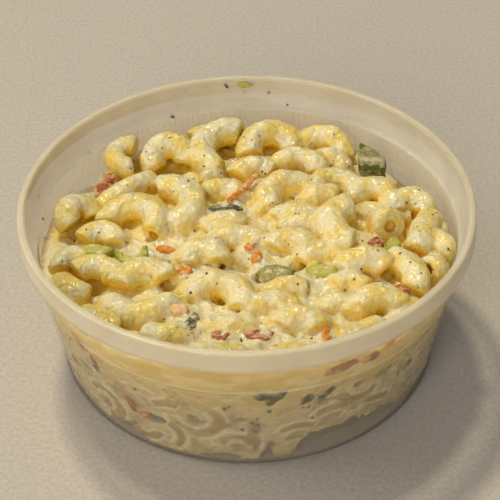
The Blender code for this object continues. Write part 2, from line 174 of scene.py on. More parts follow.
def settle(obj):
    """Bakes what the modifiers make into a plain mesh and takes them off."""
    graph = bpy.context.evaluated_depsgraph_get()
    mesh = bpy.data.meshes.new_from_object(obj.evaluated_get(graph))
    obj.modifiers.clear()
    obj.data = mesh
    return obj


def vectors_of(obj, field):
    flat = np.empty(len(obj.data.vertices) * 3, np.float32)
    obj.data.vertices.foreach_get(field, flat)
    return flat.reshape(-1, 3)


def points_of(obj):
    """An object's points in millimetres, as an array."""
    return vectors_of(obj, "co") / MM


def normals_of(obj):
    return vectors_of(obj, "normal")


def set_points(obj, points):
    obj.data.vertices.foreach_set("co", (points * MM).astype(np.float32).ravel())
    obj.data.update()


def set_attribute(obj, name, values):
    """Stores one number for each point, for a material or a tree to read."""
    stored = obj.data.attributes.get(name) or obj.data.attributes.new(name, "FLOAT", "POINT")
    stored.data.foreach_set("value", np.asarray(values, np.float32))


print("helpers for meshes are ready")

# %% [markdown]
# The helper for nodes adds a shader or geometry node and wires it in a single call. Every finish here is
# one Principled shader, because wet food and plastic both need its gloss and its soft inner light. What
# varies over a surface comes from noise in the object's own space, so it keeps its size on every piece.


# %% Helpers for nodes and finishes
def node(tree, kind, inputs=None, output=0, **settings):
    """Adds a node and returns one output. An input is a value, or the output of another node."""
    made = tree.nodes.new(kind)
    for key, value in settings.items():
        setattr(made, key, value)
    for key, value in (inputs or {}).items():
        if isinstance(value, bpy.types.NodeSocket):
            tree.links.new(value, made.inputs[key])
        else:
            made.inputs[key].default_value = value
    return made.outputs[output]


def parts_of(tree, vector):
    """The X, Y and Z of a vector, as three outputs."""
    made = tree.nodes.new("ShaderNodeSeparateXYZ")
    tree.links.new(vector, made.inputs[0])
    return made.outputs


def mix(tree, factor, first, second):
    inputs = {"Factor": factor, "A": first, "B": second}
    return node(tree, "ShaderNodeMix", inputs, output="Result", data_type="RGBA")


def math_of(tree, operation, first, second=0.0):
    return node(tree, "ShaderNodeMath", {0: first, 1: second}, operation=operation)


def noise(tree, place, size, detail):
    """Noise whose bumps are about as wide as the given size in millimetres."""
    return node(tree, "ShaderNodeTexNoise", {"Vector": place, "Scale": 1 / (size * MM), "Detail": detail})


def remap(tree, value, low, high, new_low=0.0, new_high=1.0):
    """Moves a number from one range to another with soft ends."""
    inputs = {"Value": value, 1: low, 2: high, 3: new_low, 4: new_high}
    return node(tree, "ShaderNodeMapRange", inputs, interpolation_type="SMOOTHSTEP")


def attribute(tree, name):
    return node(tree, "ShaderNodeAttribute", output="Fac", attribute_name=name)


def new_finish(name, values):
    """A Principled material with its plain numbers set, its tree, its shader and the place on the piece."""
    material = bpy.data.materials.new(name)
    material.use_nodes = True
    tree = material.node_tree
    shader = tree.nodes["Principled BSDF"]
    for socket, value in values.items():
        shader.inputs[socket].default_value = value
    return material, tree, shader, node(tree, "ShaderNodeTexCoord", output="Object")


def colour_with(tree, shader, colour):
    tree.links.new(colour, shader.inputs["Base Color"])


def cloud(tree, place, size, detail, low, high, new_low=0.0, new_high=1.0):
    """Noise stretched to soft patches with clear middles."""
    return remap(tree, noise(tree, place, size, detail), low, high, new_low, new_high)


def bump(tree, shader, *reliefs):
    """Raises the surface by each relief, a height from 0 to 1 and its depth in millimetres."""
    normal = None
    for height, depth in reliefs:
        inputs = {"Height": height, "Distance": depth * MM}
        if normal is not None:
            inputs["Normal"] = normal
        normal = node(tree, "ShaderNodeBump", inputs, output="Normal")
    tree.links.new(normal, shader.inputs["Normal"])


print("helpers for nodes and finishes are ready")

# %% [markdown]
# ## Camera
#
# The tub is seen from the front and from above, at about 39 degrees, through a long lens. The camera
# is built from the point it looks at, its distance, its pitch and a very small roll.

# %% Camera
AIM = Vector((0.7, 10.7, 20.0)) * MM
CAMERA_DISTANCE = 450.0 * MM
CAMERA_PITCH = math.radians(38.94)
CAMERA_ROLL = math.radians(-0.70)
CAMERA_LENS = 120.46
CAMERA_SENSOR = 36.0

forward = Vector((0, math.cos(CAMERA_PITCH), -math.sin(CAMERA_PITCH)))
level_right = Vector((1, 0, 0))
level_up = level_right.cross(forward)
right = level_right * math.cos(CAMERA_ROLL) + level_up * math.sin(CAMERA_ROLL)
up = level_up * math.cos(CAMERA_ROLL) - level_right * math.sin(CAMERA_ROLL)
camera_data = bpy.data.cameras.new("camera")
camera_data.lens = CAMERA_LENS
camera_data.sensor_width = CAMERA_SENSOR
camera = new_object("camera", camera_data)
camera_turn = Matrix((right, up, -forward)).transposed().to_4x4()
camera.matrix_world = Matrix.Translation(AIM - forward * CAMERA_DISTANCE) @ camera_turn
bpy.context.scene.camera = camera
print("camera at", [round(value, 3) for value in camera.matrix_world.translation])

# %% [markdown]
# ## Light and floor
#
# One warm room light hangs high behind the tub, a little to the left, so a short shadow falls towards
# us. Its far edge and its soft border give the light's height and its size. The shade is neutral, and
# darkest on the right, so a pale world and a weak light on the left fill it: the tub keeps that light
# off the table on its right. A third light stands in front, because it has to brighten the tub's
# upright side and the front of each elbow more than the floor. The floor is plain, pale and stage.

# %% Light and floor
WORLD_COLOUR = (0.90, 0.93, 1.0, 1.0)
WORLD_STRENGTH = 0.20
LIGHTS = [
    ("room_light", (-0.81, 1.59, 3.375), 0.48, 72.0, (1.0, 0.92, 0.67)),
    ("left_light", (-1.40, 0.10, 1.00), 1.00, 6.2, (1.0, 0.96, 0.90)),
    ("front_light", (-0.60, -1.68, 0.92), 1.20, 15.6, (1.0, 0.96, 0.89)),
]
FLOOR_TONES = ((0.42, 0.375, 0.325, 1), (0.71, 0.64, 0.56, 1))
FLOOR_GRAIN = 900.0
FLOOR_REACH = 2500.0
FLOOR_DROP = 0.05

world = bpy.data.worlds.new("studio")
world.use_nodes = True
background = world.node_tree.nodes["Background"]
background.inputs["Color"].default_value = WORLD_COLOUR
background.inputs["Strength"].default_value = WORLD_STRENGTH
bpy.context.scene.world = world
bpy.context.scene.view_settings.view_transform = "Standard"

for light_name, light_place, light_size, light_power, light_colour in LIGHTS:
    light_data = bpy.data.lights.new(light_name, "AREA")
    light_data.shape = "DISK"
    light_data.size = light_size
    light_data.energy = light_power
    light_data.color = light_colour
    light = new_object(light_name, light_data)
    light.location = light_place
    light.rotation_mode = "QUATERNION"
    light.rotation_quaternion = (AIM - Vector(light_place)).to_track_quat("-Z", "Y")

floor_material, floor_tree, floor_shader, floor_place = new_finish("pale_floor", {"Roughness": 0.75})
grain_inputs = {"Vector": floor_place, "Scale": FLOOR_GRAIN, "Detail": 3.0}
floor_grain = node(floor_tree, "ShaderNodeTexNoise", grain_inputs)
colour_with(floor_tree, floor_shader, mix(floor_tree, floor_grain, *FLOOR_TONES))
signs = ((-1, -1), (1, -1), (1, 1), (-1, 1))
floor_corners = [(x * FLOOR_REACH, y * FLOOR_REACH, -FLOOR_DROP) for x, y in signs]
floor = mesh_object("floor", floor_corners, [(0, 1, 2, 3)], floor_material)
print("lights", len(LIGHTS))

# %% [markdown]
# ## Food materials
#
# Cooked macaroni is a wet, slightly see-through yellow. Dressing is nearly white where it lies thick and
# lets the pasta show where it is thin. Both finishes therefore share one recipe: a bare colour, a cream
# colour, and a number that says how much cream lies on top. On pasta that number comes from soft
# patches of noise on what faces "up"; keeping the patches to upward faces is painted light, so tops look
# paler and sides more golden. On dressing it also rises with "film", the real thickness over the pasta
# below, so the two meet with no visible edge. A "depth" attribute paints shade: it turns what lies low,
# the bores and what faces down or away amber.

# %% Food materials
PASTA_BARE = (0.87, 0.60, 0.09, 1)
PASTA_PALE = (0.89, 0.69, 0.19, 1)
# Amber painted shade for pasta that lies low, in bores or faces away.
PASTA_DEEP = (0.86, 0.52, 0.010, 1)
CREAM = (0.89, 0.78, 0.48, 1)
# Amber painted shade for cream that lies low or faces away.
CREAM_DEEP = (0.88, 0.67, 0.14, 1)
# Darker copies of pasta and cream: painted shade for food on the tub's shaded side. Between the glow heights
# they turn to the lighter golden colours under the ledge, painted light from above; the streaks between
# those two colours are the food's own tone.
PASTA_AT_WALL = (0.44, 0.31, 0.11, 1)
CREAM_AT_WALL = (0.64, 0.52, 0.28, 1)
CREAM_AT_WALL_DEEP = (0.48, 0.36, 0.16, 1)
CREAM_UNDER_LEDGE = (0.86, 0.66, 0.27, 1)
GOLD_UNDER_LEDGE = (0.75, 0.52, 0.12, 1)
HOLLOW_SHADE = (0.19, 0.13, 0.07, 1)
GLOW_HEIGHTS = (17.0, 31.0)
FILM_RANGE = (0.15, 1.1)
PATCH_SIZE = 5.5
TINT_SIZE = 1.3
STREAK_SIZE = 3.2
STREAK_STRETCH = (0.5, 0.5, 1.4)
CLOUD_SIZE = 5.0
GLOSS_SIZE = 2.0
WET_ROUGHNESS = (0.11, 0.30)
WET_RELIEFS = ((2.6, 0.45), (1.3, 0.40), (0.6, 0.14))
WET = {
    "Subsurface Weight": 0.55,
    "Subsurface Radius": (1.0, 0.86, 0.22),
    "Subsurface Scale": 2.2 * MM,
    "Specular IOR Level": 0.36,
}


def wet_finish(tree, shader, place):
    """Uneven gloss and a soft relief, so that the wet surface glitters instead of shining evenly."""
    gloss = cloud(tree, place, GLOSS_SIZE, 2.0, 0.35, 0.65, *WET_ROUGHNESS)
    tree.links.new(gloss, shader.inputs["Roughness"])
    bump(tree, shader, *((noise(tree, place, size, 1.0), depth) for size, depth in WET_RELIEFS))


def lit_from_above(tree, place, low_colour):
    """Painted light on the food at the wall: a shaded colour low on the wall turns to lighter, golden lying
    streaks under the ledge.
    """
    lying = node(tree, "ShaderNodeMapping", {"Vector": place, "Scale": STREAK_STRETCH})
    streaks = cloud(tree, lying, STREAK_SIZE, 3.0, 0.42, 0.62)
    low, high = GLOW_HEIGHTS
    glow = remap(tree, parts_of(tree, place)["Z"], low * MM, high * MM)
    return mix(tree, glow, low_colour, mix(tree, streaks, CREAM_UNDER_LEDGE, GOLD_UNDER_LEDGE))


def salad_material(name, thick):
    """Pasta under patches of dressing. Where thick is set, the film attribute adds to them."""
    material, tree, shader, place = new_finish(name, WET)
    cover = cloud(tree, place, PATCH_SIZE, 3.0, 0.38, 0.62, 0.15, 1.0)
    # Painted light: the cream patches stay on what faces up, so tops look paler and sides more golden.
    cover = math_of(tree, "MULTIPLY", cover, attribute(tree, "up"))
    if thick:
        film = remap(tree, attribute(tree, "film"), *FILM_RANGE)
        cover = math_of(tree, "MAXIMUM", cover, film)
    bare = mix(tree, cloud(tree, place, TINT_SIZE, 2.0, 0.3, 0.7), PASTA_BARE, PASTA_PALE)
    colour = mix(tree, cover, bare, CREAM)
    # Painted shade: what lies low, the bores and faces that look away take the amber shade colours.
    deep = mix(tree, cover, PASTA_DEEP, CREAM_DEEP)
    colour = mix(tree, attribute(tree, "depth"), colour, deep)
    # At the wall, darker copies paint the shade of the tub's side, lighter towards the ledge.
    at_wall = lit_from_above(tree, place, CREAM_AT_WALL if thick else PASTA_AT_WALL)
    colour_with(tree, shader, mix(tree, attribute(tree, "at_wall"), colour, at_wall))
    wet_finish(tree, shader, place)
    return material


def wall_dressing_material():
    """Dressing behind the plastic, with painted light and shade: darker, greyer cloudy cream for the shaded
    side, golden under the ledge where light comes from above, and painted shade in the hollows.
    """
    material, tree, shader, place = new_finish("dressing_behind_plastic", WET)
    clouds = cloud(tree, place, CLOUD_SIZE, 3.0, 0.40, 0.64)
    colour = lit_from_above(tree, place, mix(tree, clouds, CREAM_AT_WALL, CREAM_AT_WALL_DEEP))
    colour = mix(tree, attribute(tree, "outline"), colour, CREAM)
    # Painted shade in the hollows, darker the farther the dressing stands back.
    colour_with(tree, shader, mix(tree, attribute(tree, "hollow"), colour, HOLLOW_SHADE))
    wet_finish(tree, shader, place)
    return material


pasta_material = salad_material("cooked_pasta", thick=False)
dressing_material = salad_material("cream_dressing", thick=True)
side_material = wall_dressing_material()
print("food materials", pasta_material.name, dressing_material.name, side_material.name)

# %% [markdown]
# ## Elbows on the heap
#
# An elbow is a short bent tube. Each one is written as three places: one end, the middle of the bend
# and the other end, with its width. A circle runs through three places, so those are enough to bend a
# tube along. The places are the same as in the solid model that the frame was packed from.

# %% Where each elbow lies
HEAP_LEVEL = 34.6
ELBOWS = [
    ((-24.6, 31.0, -3.0), (-20.8, 37.3, 1.3), (-16.5, 32.5, -2.5), 7.3),
    ((-38.5, 12.0, -1.5), (-32.2, 17.8, 0.0), (-25.4, 23.8, -1.0), 6.8),
    ((-30.5, 38.0, 0.5), (-36.0, 34.5, 0.0), (-31.0, 30.0, -1.0), 6.3),
    ((-1.5, 42.5, 1.5), (-12.0, 36.5, 1.0), (-7.0, 27.0, -1.0), 8.0),
    ((1.0, 35.5, -2.0), (6.5, 43.0, 1.0), (13.0, 37.0, -2.0), 7.8),
    ((15.0, 37.5, -2.5), (22.0, 41.5, 0.0), (26.0, 34.5, -2.0), 7.5),
    ((8.0, 28.0, -1.0), (14.0, 31.0, 0.5), (19.5, 26.0, -1.5), 7.5),
    ((18.5, 29.5, -2.0), (22.8, 32.5, -0.5), (25.6, 27.5, -2.5), 6.6),
    ((-3.0, 24.5, -0.5), (1.5, 27.5, 0.5), (7.0, 26.0, -0.5), 6.8),
    ((-9.0, 20.0, 1.5), (-9.0, 25.5, -1.5), (-5.0, 29.5, -5.0), 7.0),
    ((-10.5, 15.0, -0.5), (-6.0, 17.5, 0.5), (-1.5, 15.0, -0.5), 6.5),
    ((6.0, 8.5, -0.5), (9.0, 18.0, 1.5), (16.5, 18.0, 0.0), 7.6),
    ((18.0, 16.5, -0.5), (24.0, 22.0, 0.0), (29.0, 17.0, -1.0), 7.0),
    ((15.5, 10.0, 0.0), (19.0, 13.5, 0.5), (24.0, 14.0, 0.0), 7.2),
    ((27.5, 7.0, 1.5), (21.5, 0.5, 1.5), (27.0, -7.5, 0.5), 8.6),
    ((29.0, 13.0, -2.0), (33.5, 17.5, 0.5), (37.5, 12.0, -2.0), 7.0),
    ((28.5, 7.5, -2.5), (33.0, 10.0, -2.0), (36.5, 6.0, -2.5), 6.5),
    ((39.5, 8.0, -1.5), (42.5, 13.5, 0.0), (46.0, 7.5, -1.5), 6.5),
    ((37.0, -0.5, 1.5), (37.0, 5.5, -2.0), (42.0, 9.5, -5.0), 8.8),
    ((48.0, 6.0, -1.5), (45.5, -1.5, 0.5), (43.0, -9.5, 0.0), 7.2),
    ((43.5, -6.5, -1.5), (47.5, -3.5, -0.5), (49.0, -9.5, -1.5), 6.5),
    ((45.0, -17.5, 1.0), (47.5, -12.0, -2.5), (44.5, -6.5, -5.0), 7.5),
    ((24.0, -18.0, 0.0), (29.0, -14.5, 1.5), (35.0, -16.5, 0.0), 7.8),
    ((36.0, -13.0, -0.5), (41.0, -17.0, 1.0), (41.0, -24.5, -0.5), 7.2),
    ((27.5, -32.0, 0.0), (32.0, -28.0, 1.0), (37.5, -30.5, -0.5), 7.2),
    ((21.5, -22.8, -0.5), (25.5, -21.8, 0.0), (29.3, -23.8, -0.5), 6.6),
    ((-46.0, 3.0, 0.0), (-45.0, 10.0, 1.5), (-40.0, 9.0, -2.0), 6.8),
    ((-42.0, -1.5, -1.0), (-38.0, 0.5, 0.0), (-33.5, -3.5, -1.0), 6.6),
    ((-36.5, 4.5, -1.0), (-30.2, 9.2, 1.5), (-24.0, -1.0, 0.0), 7.8),
    ((-23.5, 18.0, 0.5), (-14.5, 11.0, 1.6), (-20.0, 1.5, 0.0), 8.0),
    ((-43.0, -14.5, -1.0), (-37.5, -13.5, 0.0), (-33.0, -17.5, -0.5), 6.8),
    ((-47.5, -13.0, -1.5), (-45.5, -9.0, -0.5), (-41.0, -10.0, -1.0), 5.8),
    ((-46.8, -17.0, -2.0), (-43.6, -21.6, -1.0), (-39.4, -23.6, -1.5), 6.8),
    ((-20.5, -21.0, 0.5), (-26.0, -18.0, 1.5), (-32.0, -21.5, 0.0), 7.8),
    ((-34.2, -26.5, -1.0), (-27.0, -32.6, 0.0), (-18.4, -28.0, 0.0), 7.6),
    ((-24.5, -38.5, -1.5), (-20.0, -40.0, -0.5), (-15.5, -38.0, -1.0), 7.0),
    ((-14.8, -13.4, -0.5), (-11.2, -9.4, 1.0), (-6.6, -13.0, -0.5), 7.2),
    ((-11.0, 0.5, -0.5), (-6.0, 2.5, 0.5), (-1.0, 2.0, -0.5), 6.8),
    ((-9.0, -6.0, -0.5), (-3.0, -3.5, 0.5), (3.5, -5.5, -0.5), 7.2),
    ((6.0, -8.0, 0.0), (13.0, -6.0, 1.0), (14.5, -13.5, -1.0), 7.0),
    ((16.5, -11.5, -1.0), (20.5, -9.5, 0.0), (25.0, -12.0, -1.0), 6.8),
    ((8.0, 4.5, -1.0), (13.0, 7.0, 0.0), (18.0, 5.0, -1.0), 6.8),
    ((9.5, -0.5, -0.5), (15.0, 1.5, 0.5), (20.0, -3.5, -1.0), 6.6),
    ((-15.5, -27.5, 0.0), (-7.5, -22.6, 1.5), (-1.0, -32.0, 0.0), 7.2),
    ((-9.5, -35.5, -1.0), (-5.0, -37.5, -0.5), (0.5, -36.0, -1.0), 6.8),
    ((1.5, -33.0, -0.5), (6.0, -29.0, 1.0), (10.5, -33.0, -0.5), 6.4),
    ((4.0, -27.0, -0.5), (9.0, -24.5, 0.5), (14.5, -24.0, 0.0), 6.5),
    ((8.0, -38.0, -0.5), (12.5, -35.5, 0.5), (17.5, -38.5, -0.5), 7.4),
    ((19.0, -32.5, -1.0), (22.5, -29.0, 0.0), (26.0, -33.5, -1.0), 6.2),
    ((22.0, -40.5, -1.5), (27.0, -39.5, -1.0), (32.0, -36.0, -1.5), 6.8),
    ((-40.0, -30.0, -1.5), (-36.0, -34.0, -1.0), (-31.0, -36.0, -1.5), 6.8),
    ((-13.0, -45.0, -1.5), (-7.0, -47.0, -1.0), (-1.0, -46.0, -1.5), 6.4),
    ((5.0, -46.5, -1.5), (10.5, -47.0, -1.0), (16.0, -45.5, -1.5), 6.4),
    ((34.0, -36.0, -2.0), (37.5, -32.5, -1.5), (41.0, -27.5, -2.0), 6.0),
    ((-15.0, 44.0, -2.0), (-9.5, 46.5, -1.5), (-3.5, 47.0, -2.5), 6.2),
]
print("elbows in the table", len(ELBOWS))

# %% [markdown]
# The circle through three places is written as its centre, two directions in its plane, its axis, its
# radius and its sweep. The bend of the pipe needs these, and so do the distances to each tube later on.


# %% A circle through three places
def arc_through(first, middle, last):
    """Centre, outward and forward directions, axis, radius and sweep of the circle through three places."""
    first, middle, last = (np.array(place, float) for place in (first, middle, last))
    to_first = first - middle
    to_last = last - middle
    normal = np.cross(to_first, to_last)
    lean = (to_first @ to_first) * to_last - (to_last @ to_last) * to_first
    centre = middle + np.cross(lean, normal) / (2 * normal @ normal)
    radius = np.linalg.norm(first - centre)
    axis = normal / np.linalg.norm(normal)
    out = (first - centre) / radius
    along = np.cross(axis, out)

    def turn_of(place):
        offset = place - centre
        return math.atan2(offset @ along, offset @ out) % (2 * math.pi)

    sweep = turn_of(last)
    if turn_of(middle) > sweep:
        return centre, out, -along, -axis, radius, 2 * math.pi - sweep
    return centre, out, along, axis, radius, sweep


def on_heap(place):
    return (place[0], place[1], HEAP_LEVEL + place[2])


heap_arcs = [(arc_through(*map(on_heap, row[:3])), row[3] / 2) for row in ELBOWS]
print("elbows on the heap", len(heap_arcs))

# %% [markdown]
# ## Elbows against the wall
#
# Through the clear wall you see more elbows, pressed flat against the plastic. They are easier to place
# on the wall laid out flat: how far round from the front in millimetres, and how high. The ones in
# front are listed one by one, the rest of the way round they are drawn at random with a fixed seed.

# %% Elbows against the wall
WALL_RUN = 51.5
WHOLE_RUN = 2 * math.pi * WALL_RUN
WALL_ELBOWS = [
    ((-19.4, 16.2), (-13.4, 11.5), (-9.0, 21.0), 5.6),
    ((-23.5, 19.0), (-20.6, 20.6), (-17.6, 20.4), 4.6),
    ((-45.0, 12.0), (-37.5, 14.0), (-40.0, 5.5), 5.6),
    ((-32.0, 5.6), (-27.8, 4.6), (-23.5, 7.6), 4.4),
    ((-20.5, 13.0), (-17.5, 8.7), (-19.5, 4.4), 5.2),
    ((22.5, 23.0), (27.0, 18.6), (32.8, 20.6), 5.8),
    ((16.5, 16.6), (21.4, 18.4), (26.9, 14.0), 5.2),
    ((30.0, 16.0), (33.6, 14.9), (37.8, 13.0), 4.6),
    ((8.0, 12.4), (12.0, 14.2), (16.0, 13.0), 4.8),
    ((-7.5, 8.0), (-3.0, 11.5), (1.5, 7.5), 5.4),
    ((-33.0, 24.5), (-27.0, 26.5), (-21.5, 23.5), 5.8),
    ((-6.0, 27.0), (0.0, 29.5), (6.5, 27.5), 5.4),
    ((12.5, 29.5), (18.0, 30.5), (24.0, 28.5), 5.4),
    ((38.0, 25.0), (42.0, 20.5), (46.0, 14.0), 5.4),
    ((-53.0, 22.0), (-50.0, 26.5), (-44.0, 21.0), 5.2),
]
FRONT_REACH = 54.0
WALL_PRESS = 0.3
WALL_SPACING = 13.5
WALL_ROWS = (6.5, 14.5, 22.0)
WALL_ROW_LIMITS = (4.5, 25.0)
LYING = 0.7


def on_wall(run, height, inward):
    """A place on the inner wall from its run round the tub and its height."""
    angle = run / WALL_RUN - math.pi / 2
    radius = inner_radius(height) - inward
    return (radius * np.cos(angle), radius * np.sin(angle), height)


def random_wall_elbows():
    """Rows of elbows round the sides and the back, a little more lying than upright."""
    draw = random.Random(7)
    low, high = WALL_ROW_LIMITS
    rows = []
    run = FRONT_REACH
    while run < WHOLE_RUN - FRONT_REACH:
        for height in WALL_ROWS:
            middle = (run + draw.uniform(-4, 4), height + draw.uniform(-2, 2))
            turn = draw.uniform(0, 2 * math.pi)
            reach = draw.uniform(4.5, 6.5)
            bend = draw.uniform(2.0, 4.0)
            ends = []
            for side in (-1, 1):
                x = middle[0] + side * reach * math.cos(turn) - bend * math.sin(turn)
                y = middle[1] + side * reach * math.sin(turn) * LYING + bend * math.cos(turn) * LYING
                ends.append((x, min(max(y, low), high)))
            rows.append((ends[0], middle, ends[1], draw.uniform(4.8, 6.6)))
        run += WALL_SPACING
    return rows


wall_arcs = []
for row in WALL_ELBOWS + random_wall_elbows():
    half_width = row[3] / 2
    places = [on_wall(run, height, half_width - WALL_PRESS) for run, height in row[:3]]
    wall_arcs.append((arc_through(*places), half_width))
print("elbows against the wall", len(wall_arcs))

# %% [markdown]
# ## One bend for every elbow
#
# The elbows differ only in place, bend and width, so one straight pipe is modelled and Geometry Nodes
# bend a copy for each. The pipe runs along x from 0 to 1 and has a true bore. Each elbow is a point
# that carries its circle as attributes. Instance on Points copies them onto the pipe's points when the
# instances are realized, and Set Position wraps x round the circle. Noise then makes each one uneven.

# %% The straight pipe
PIPE_SIDES = 20
BORE_SHARE = 0.36
PIPE_SECTION = [
    (0.05, 0.99), (0.10, 1.0), (0.20, 1.0), (0.30, 1.0), (0.40, 1.0), (0.50, 1.0), (0.60, 1.0), (0.70, 1.0),
    (0.80, 1.0), (0.90, 1.0), (0.95, 0.99), (0.98, 0.95), (0.995, 0.86), (1.0, 0.72), (0.998, 0.56),
    (0.98, BORE_SHARE + 0.04), (0.9, BORE_SHARE), (0.75, BORE_SHARE), (0.5, BORE_SHARE), (0.25, BORE_SHARE),
    (0.1, BORE_SHARE), (0.02, BORE_SHARE + 0.04), (0.002, 0.56), (0.0, 0.72), (0.005, 0.86), (0.02, 0.95),
]


def make_pipe():
    """A pipe whose outline round the wall is closed, so that it has no open edge."""
    turns = circle(PIPE_SIDES)
    points = [(share, radius * x, radius * y) for share, radius in PIPE_SECTION for x, y in turns]
    open_faces = ring_faces(len(PIPE_SECTION) + 1, PIPE_SIDES)
    faces = [[corner % len(points) for corner in face] for face in open_faces]
    pipe = mesh_object("pipe", np.array(points) / MM, faces)
    set_attribute(pipe, "inside", [float(radius < 0.5) for _, radius in PIPE_SECTION for _ in turns])
    return pipe


pipe = make_pipe()
print("pipe faces", len(pipe.data.polygons))

# %% [markdown]
# Three trees follow in this lesson, and all start and end alike. Each takes geometry, some named inputs
# and a finish. A modifier sets the inputs by their identifiers, and its result is baked at once.


# %% Helpers for Geometry Nodes
def new_tree(name, inputs):
    """A geometry tree with named inputs besides its geometry and its finish."""
    tree = bpy.data.node_groups.new(name, "GeometryNodeTree")
    for label, kind in {"Geometry": "Geometry", **inputs, "Finish": "Material"}.items():
        tree.interface.new_socket(label, in_out="INPUT", socket_type=f"NodeSocket{kind}")
    tree.interface.new_socket("Geometry", in_out="OUTPUT", socket_type="NodeSocketGeometry")
    return tree, tree.nodes.new("NodeGroupInput").outputs


def end_tree(tree, given, shape):
    """Gives the shape its finish and makes it the tree's result."""
    done = node(tree, "GeometryNodeSetMaterial", {"Geometry": shape, "Material": given["Finish"]})
    tree.links.new(done, tree.nodes.new("NodeGroupOutput").inputs["Geometry"])
    return tree


def run_tree(obj, tree, values):
    """Sets a tree's inputs by their identifiers, and bakes its result."""
    modifier = obj.modifiers.new(tree.name, "NODES")
    modifier.node_group = tree
    for item in tree.interface.items_tree:
        if item.in_out == "INPUT" and item.name in values:
            modifier[item.identifier] = values[item.name]
    return settle(obj)


def carried(tree, name, kind="FLOAT"):
    """A value that each elbow's point carries."""
    return node(tree, "GeometryNodeInputNamedAttribute", {"Name": name}, data_type=kind)


def sum_of(tree, *terms):
    total = terms[0]
    for term in terms[1:]:
        total = node(tree, "ShaderNodeVectorMath", {0: total, 1: term}, operation="ADD")
    return total


def scaled(tree, vector, factor):
    return node(tree, "ShaderNodeVectorMath", {0: vector, "Scale": factor}, operation="SCALE")


print("helpers for Geometry Nodes are ready")

# %% [markdown]
# In the bend, x becomes a turn round the circle, y widens or narrows the ring, and z rises along the
# axis, a little flattened. The noise that follows works on real places, so no two elbows are alike.

# %% The bend
ELBOW_WOBBLE = 0.7
WOBBLE_SIZE = 7.0
FLATNESS = (0.84, 1.02)
CARRIED = ("centre", "out", "along", "side", "bend", "sweep", "half_width", "flat")


def bend_tree():
    """Wraps the pipe round each point's circle, then makes it uneven."""
    tree, given = new_tree("bend_elbows", {"Pipe": "Object", "Wobble": "Float", "Wobble Size": "Float"})
    pipe = node(tree, "GeometryNodeObjectInfo", {"Object": given["Pipe"]}, output="Geometry")
    copies = node(tree, "GeometryNodeInstanceOnPoints", {"Points": given["Geometry"], "Instance": pipe})
    real = node(tree, "GeometryNodeRealizeInstances", {"Geometry": copies})
    x, y, z = parts_of(tree, node(tree, "GeometryNodeInputPosition"))
    turn = math_of(tree, "MULTIPLY", x, carried(tree, "sweep"))
    width = carried(tree, "half_width")
    reach = math_of(tree, "ADD", math_of(tree, "MULTIPLY", y, width), carried(tree, "bend"))
    rise = math_of(tree, "MULTIPLY", math_of(tree, "MULTIPLY", z, width), carried(tree, "flat"))
    out = scaled(tree, carried(tree, "out", "FLOAT_VECTOR"), math_of(tree, "COSINE", turn))
    along = scaled(tree, carried(tree, "along", "FLOAT_VECTOR"), math_of(tree, "SINE", turn))
    ring = scaled(tree, sum_of(tree, out, along), reach)
    side = scaled(tree, carried(tree, "side", "FLOAT_VECTOR"), rise)
    bent = sum_of(tree, carried(tree, "centre", "FLOAT_VECTOR"), ring, side)
    wrapped = node(tree, "GeometryNodeSetPosition", {"Geometry": real, "Position": bent})
    where = node(tree, "GeometryNodeInputPosition")
    inverse = math_of(tree, "DIVIDE", 1.0, given["Wobble Size"])
    bumps = node(tree, "ShaderNodeTexNoise", {"Vector": where, "Scale": inverse, "Detail": 2.0})
    bumps = math_of(tree, "MULTIPLY", math_of(tree, "SUBTRACT", bumps, 0.5), given["Wobble"])
    shift = scaled(tree, node(tree, "GeometryNodeInputNormal"), bumps)
    uneven = node(tree, "GeometryNodeSetPosition", {"Geometry": wrapped, "Offset": shift})
    return end_tree(tree, given, node(tree, "GeometryNodeSetShadeSmooth", {"Geometry": uneven}))


def elbow_points(name, arcs, seed):
    """One point for each elbow, which carries its circle in metres."""
    obj = mesh_object(name, [(0, 0, 0)] * len(arcs), [])
    draw = random.Random(seed)
    rows = []
    for (centre, out, along, axis, radius, sweep), half_width in arcs:
        flat = draw.uniform(*FLATNESS)
        rows.append((centre * MM, out, along, -axis, radius * MM, sweep, half_width * MM, flat))
    for label, column in zip(CARRIED, zip(*rows)):
        vector = np.ndim(column[0]) == 1
        stored = obj.data.attributes.new(label, "FLOAT_VECTOR" if vector else "FLOAT", "POINT")
        stored.data.foreach_set("vector" if vector else "value", np.array(column, np.float32).ravel())
    return obj


elbows = elbow_points("elbows", heap_arcs + wall_arcs, seed=3)
unevenness = {"Wobble": ELBOW_WOBBLE * MM, "Wobble Size": WOBBLE_SIZE * MM}
run_tree(elbows, bend_tree(), {"Pipe": pipe, **unevenness, "Finish": pasta_material})
bpy.data.objects.remove(pipe, do_unlink=True)
print("elbow faces", len(elbows.data.polygons))

# %% [markdown]
# ## The dressing as a field of distances
#
# Dressing flows: it fills the gaps, climbs the tubes a little and clings to their tops in patches.
# Modelling that by hand would be slow, so it is worked out. Every point of a fine grid gets a number,
# below zero inside the dressing and above zero outside. A level surface gives the pools, each tube
# grown by a film of uneven thickness gives the coats, and a soft minimum joins the two with a rounded
# edge. A skin is then drawn where the number crosses zero, with one point in each cell it passes.

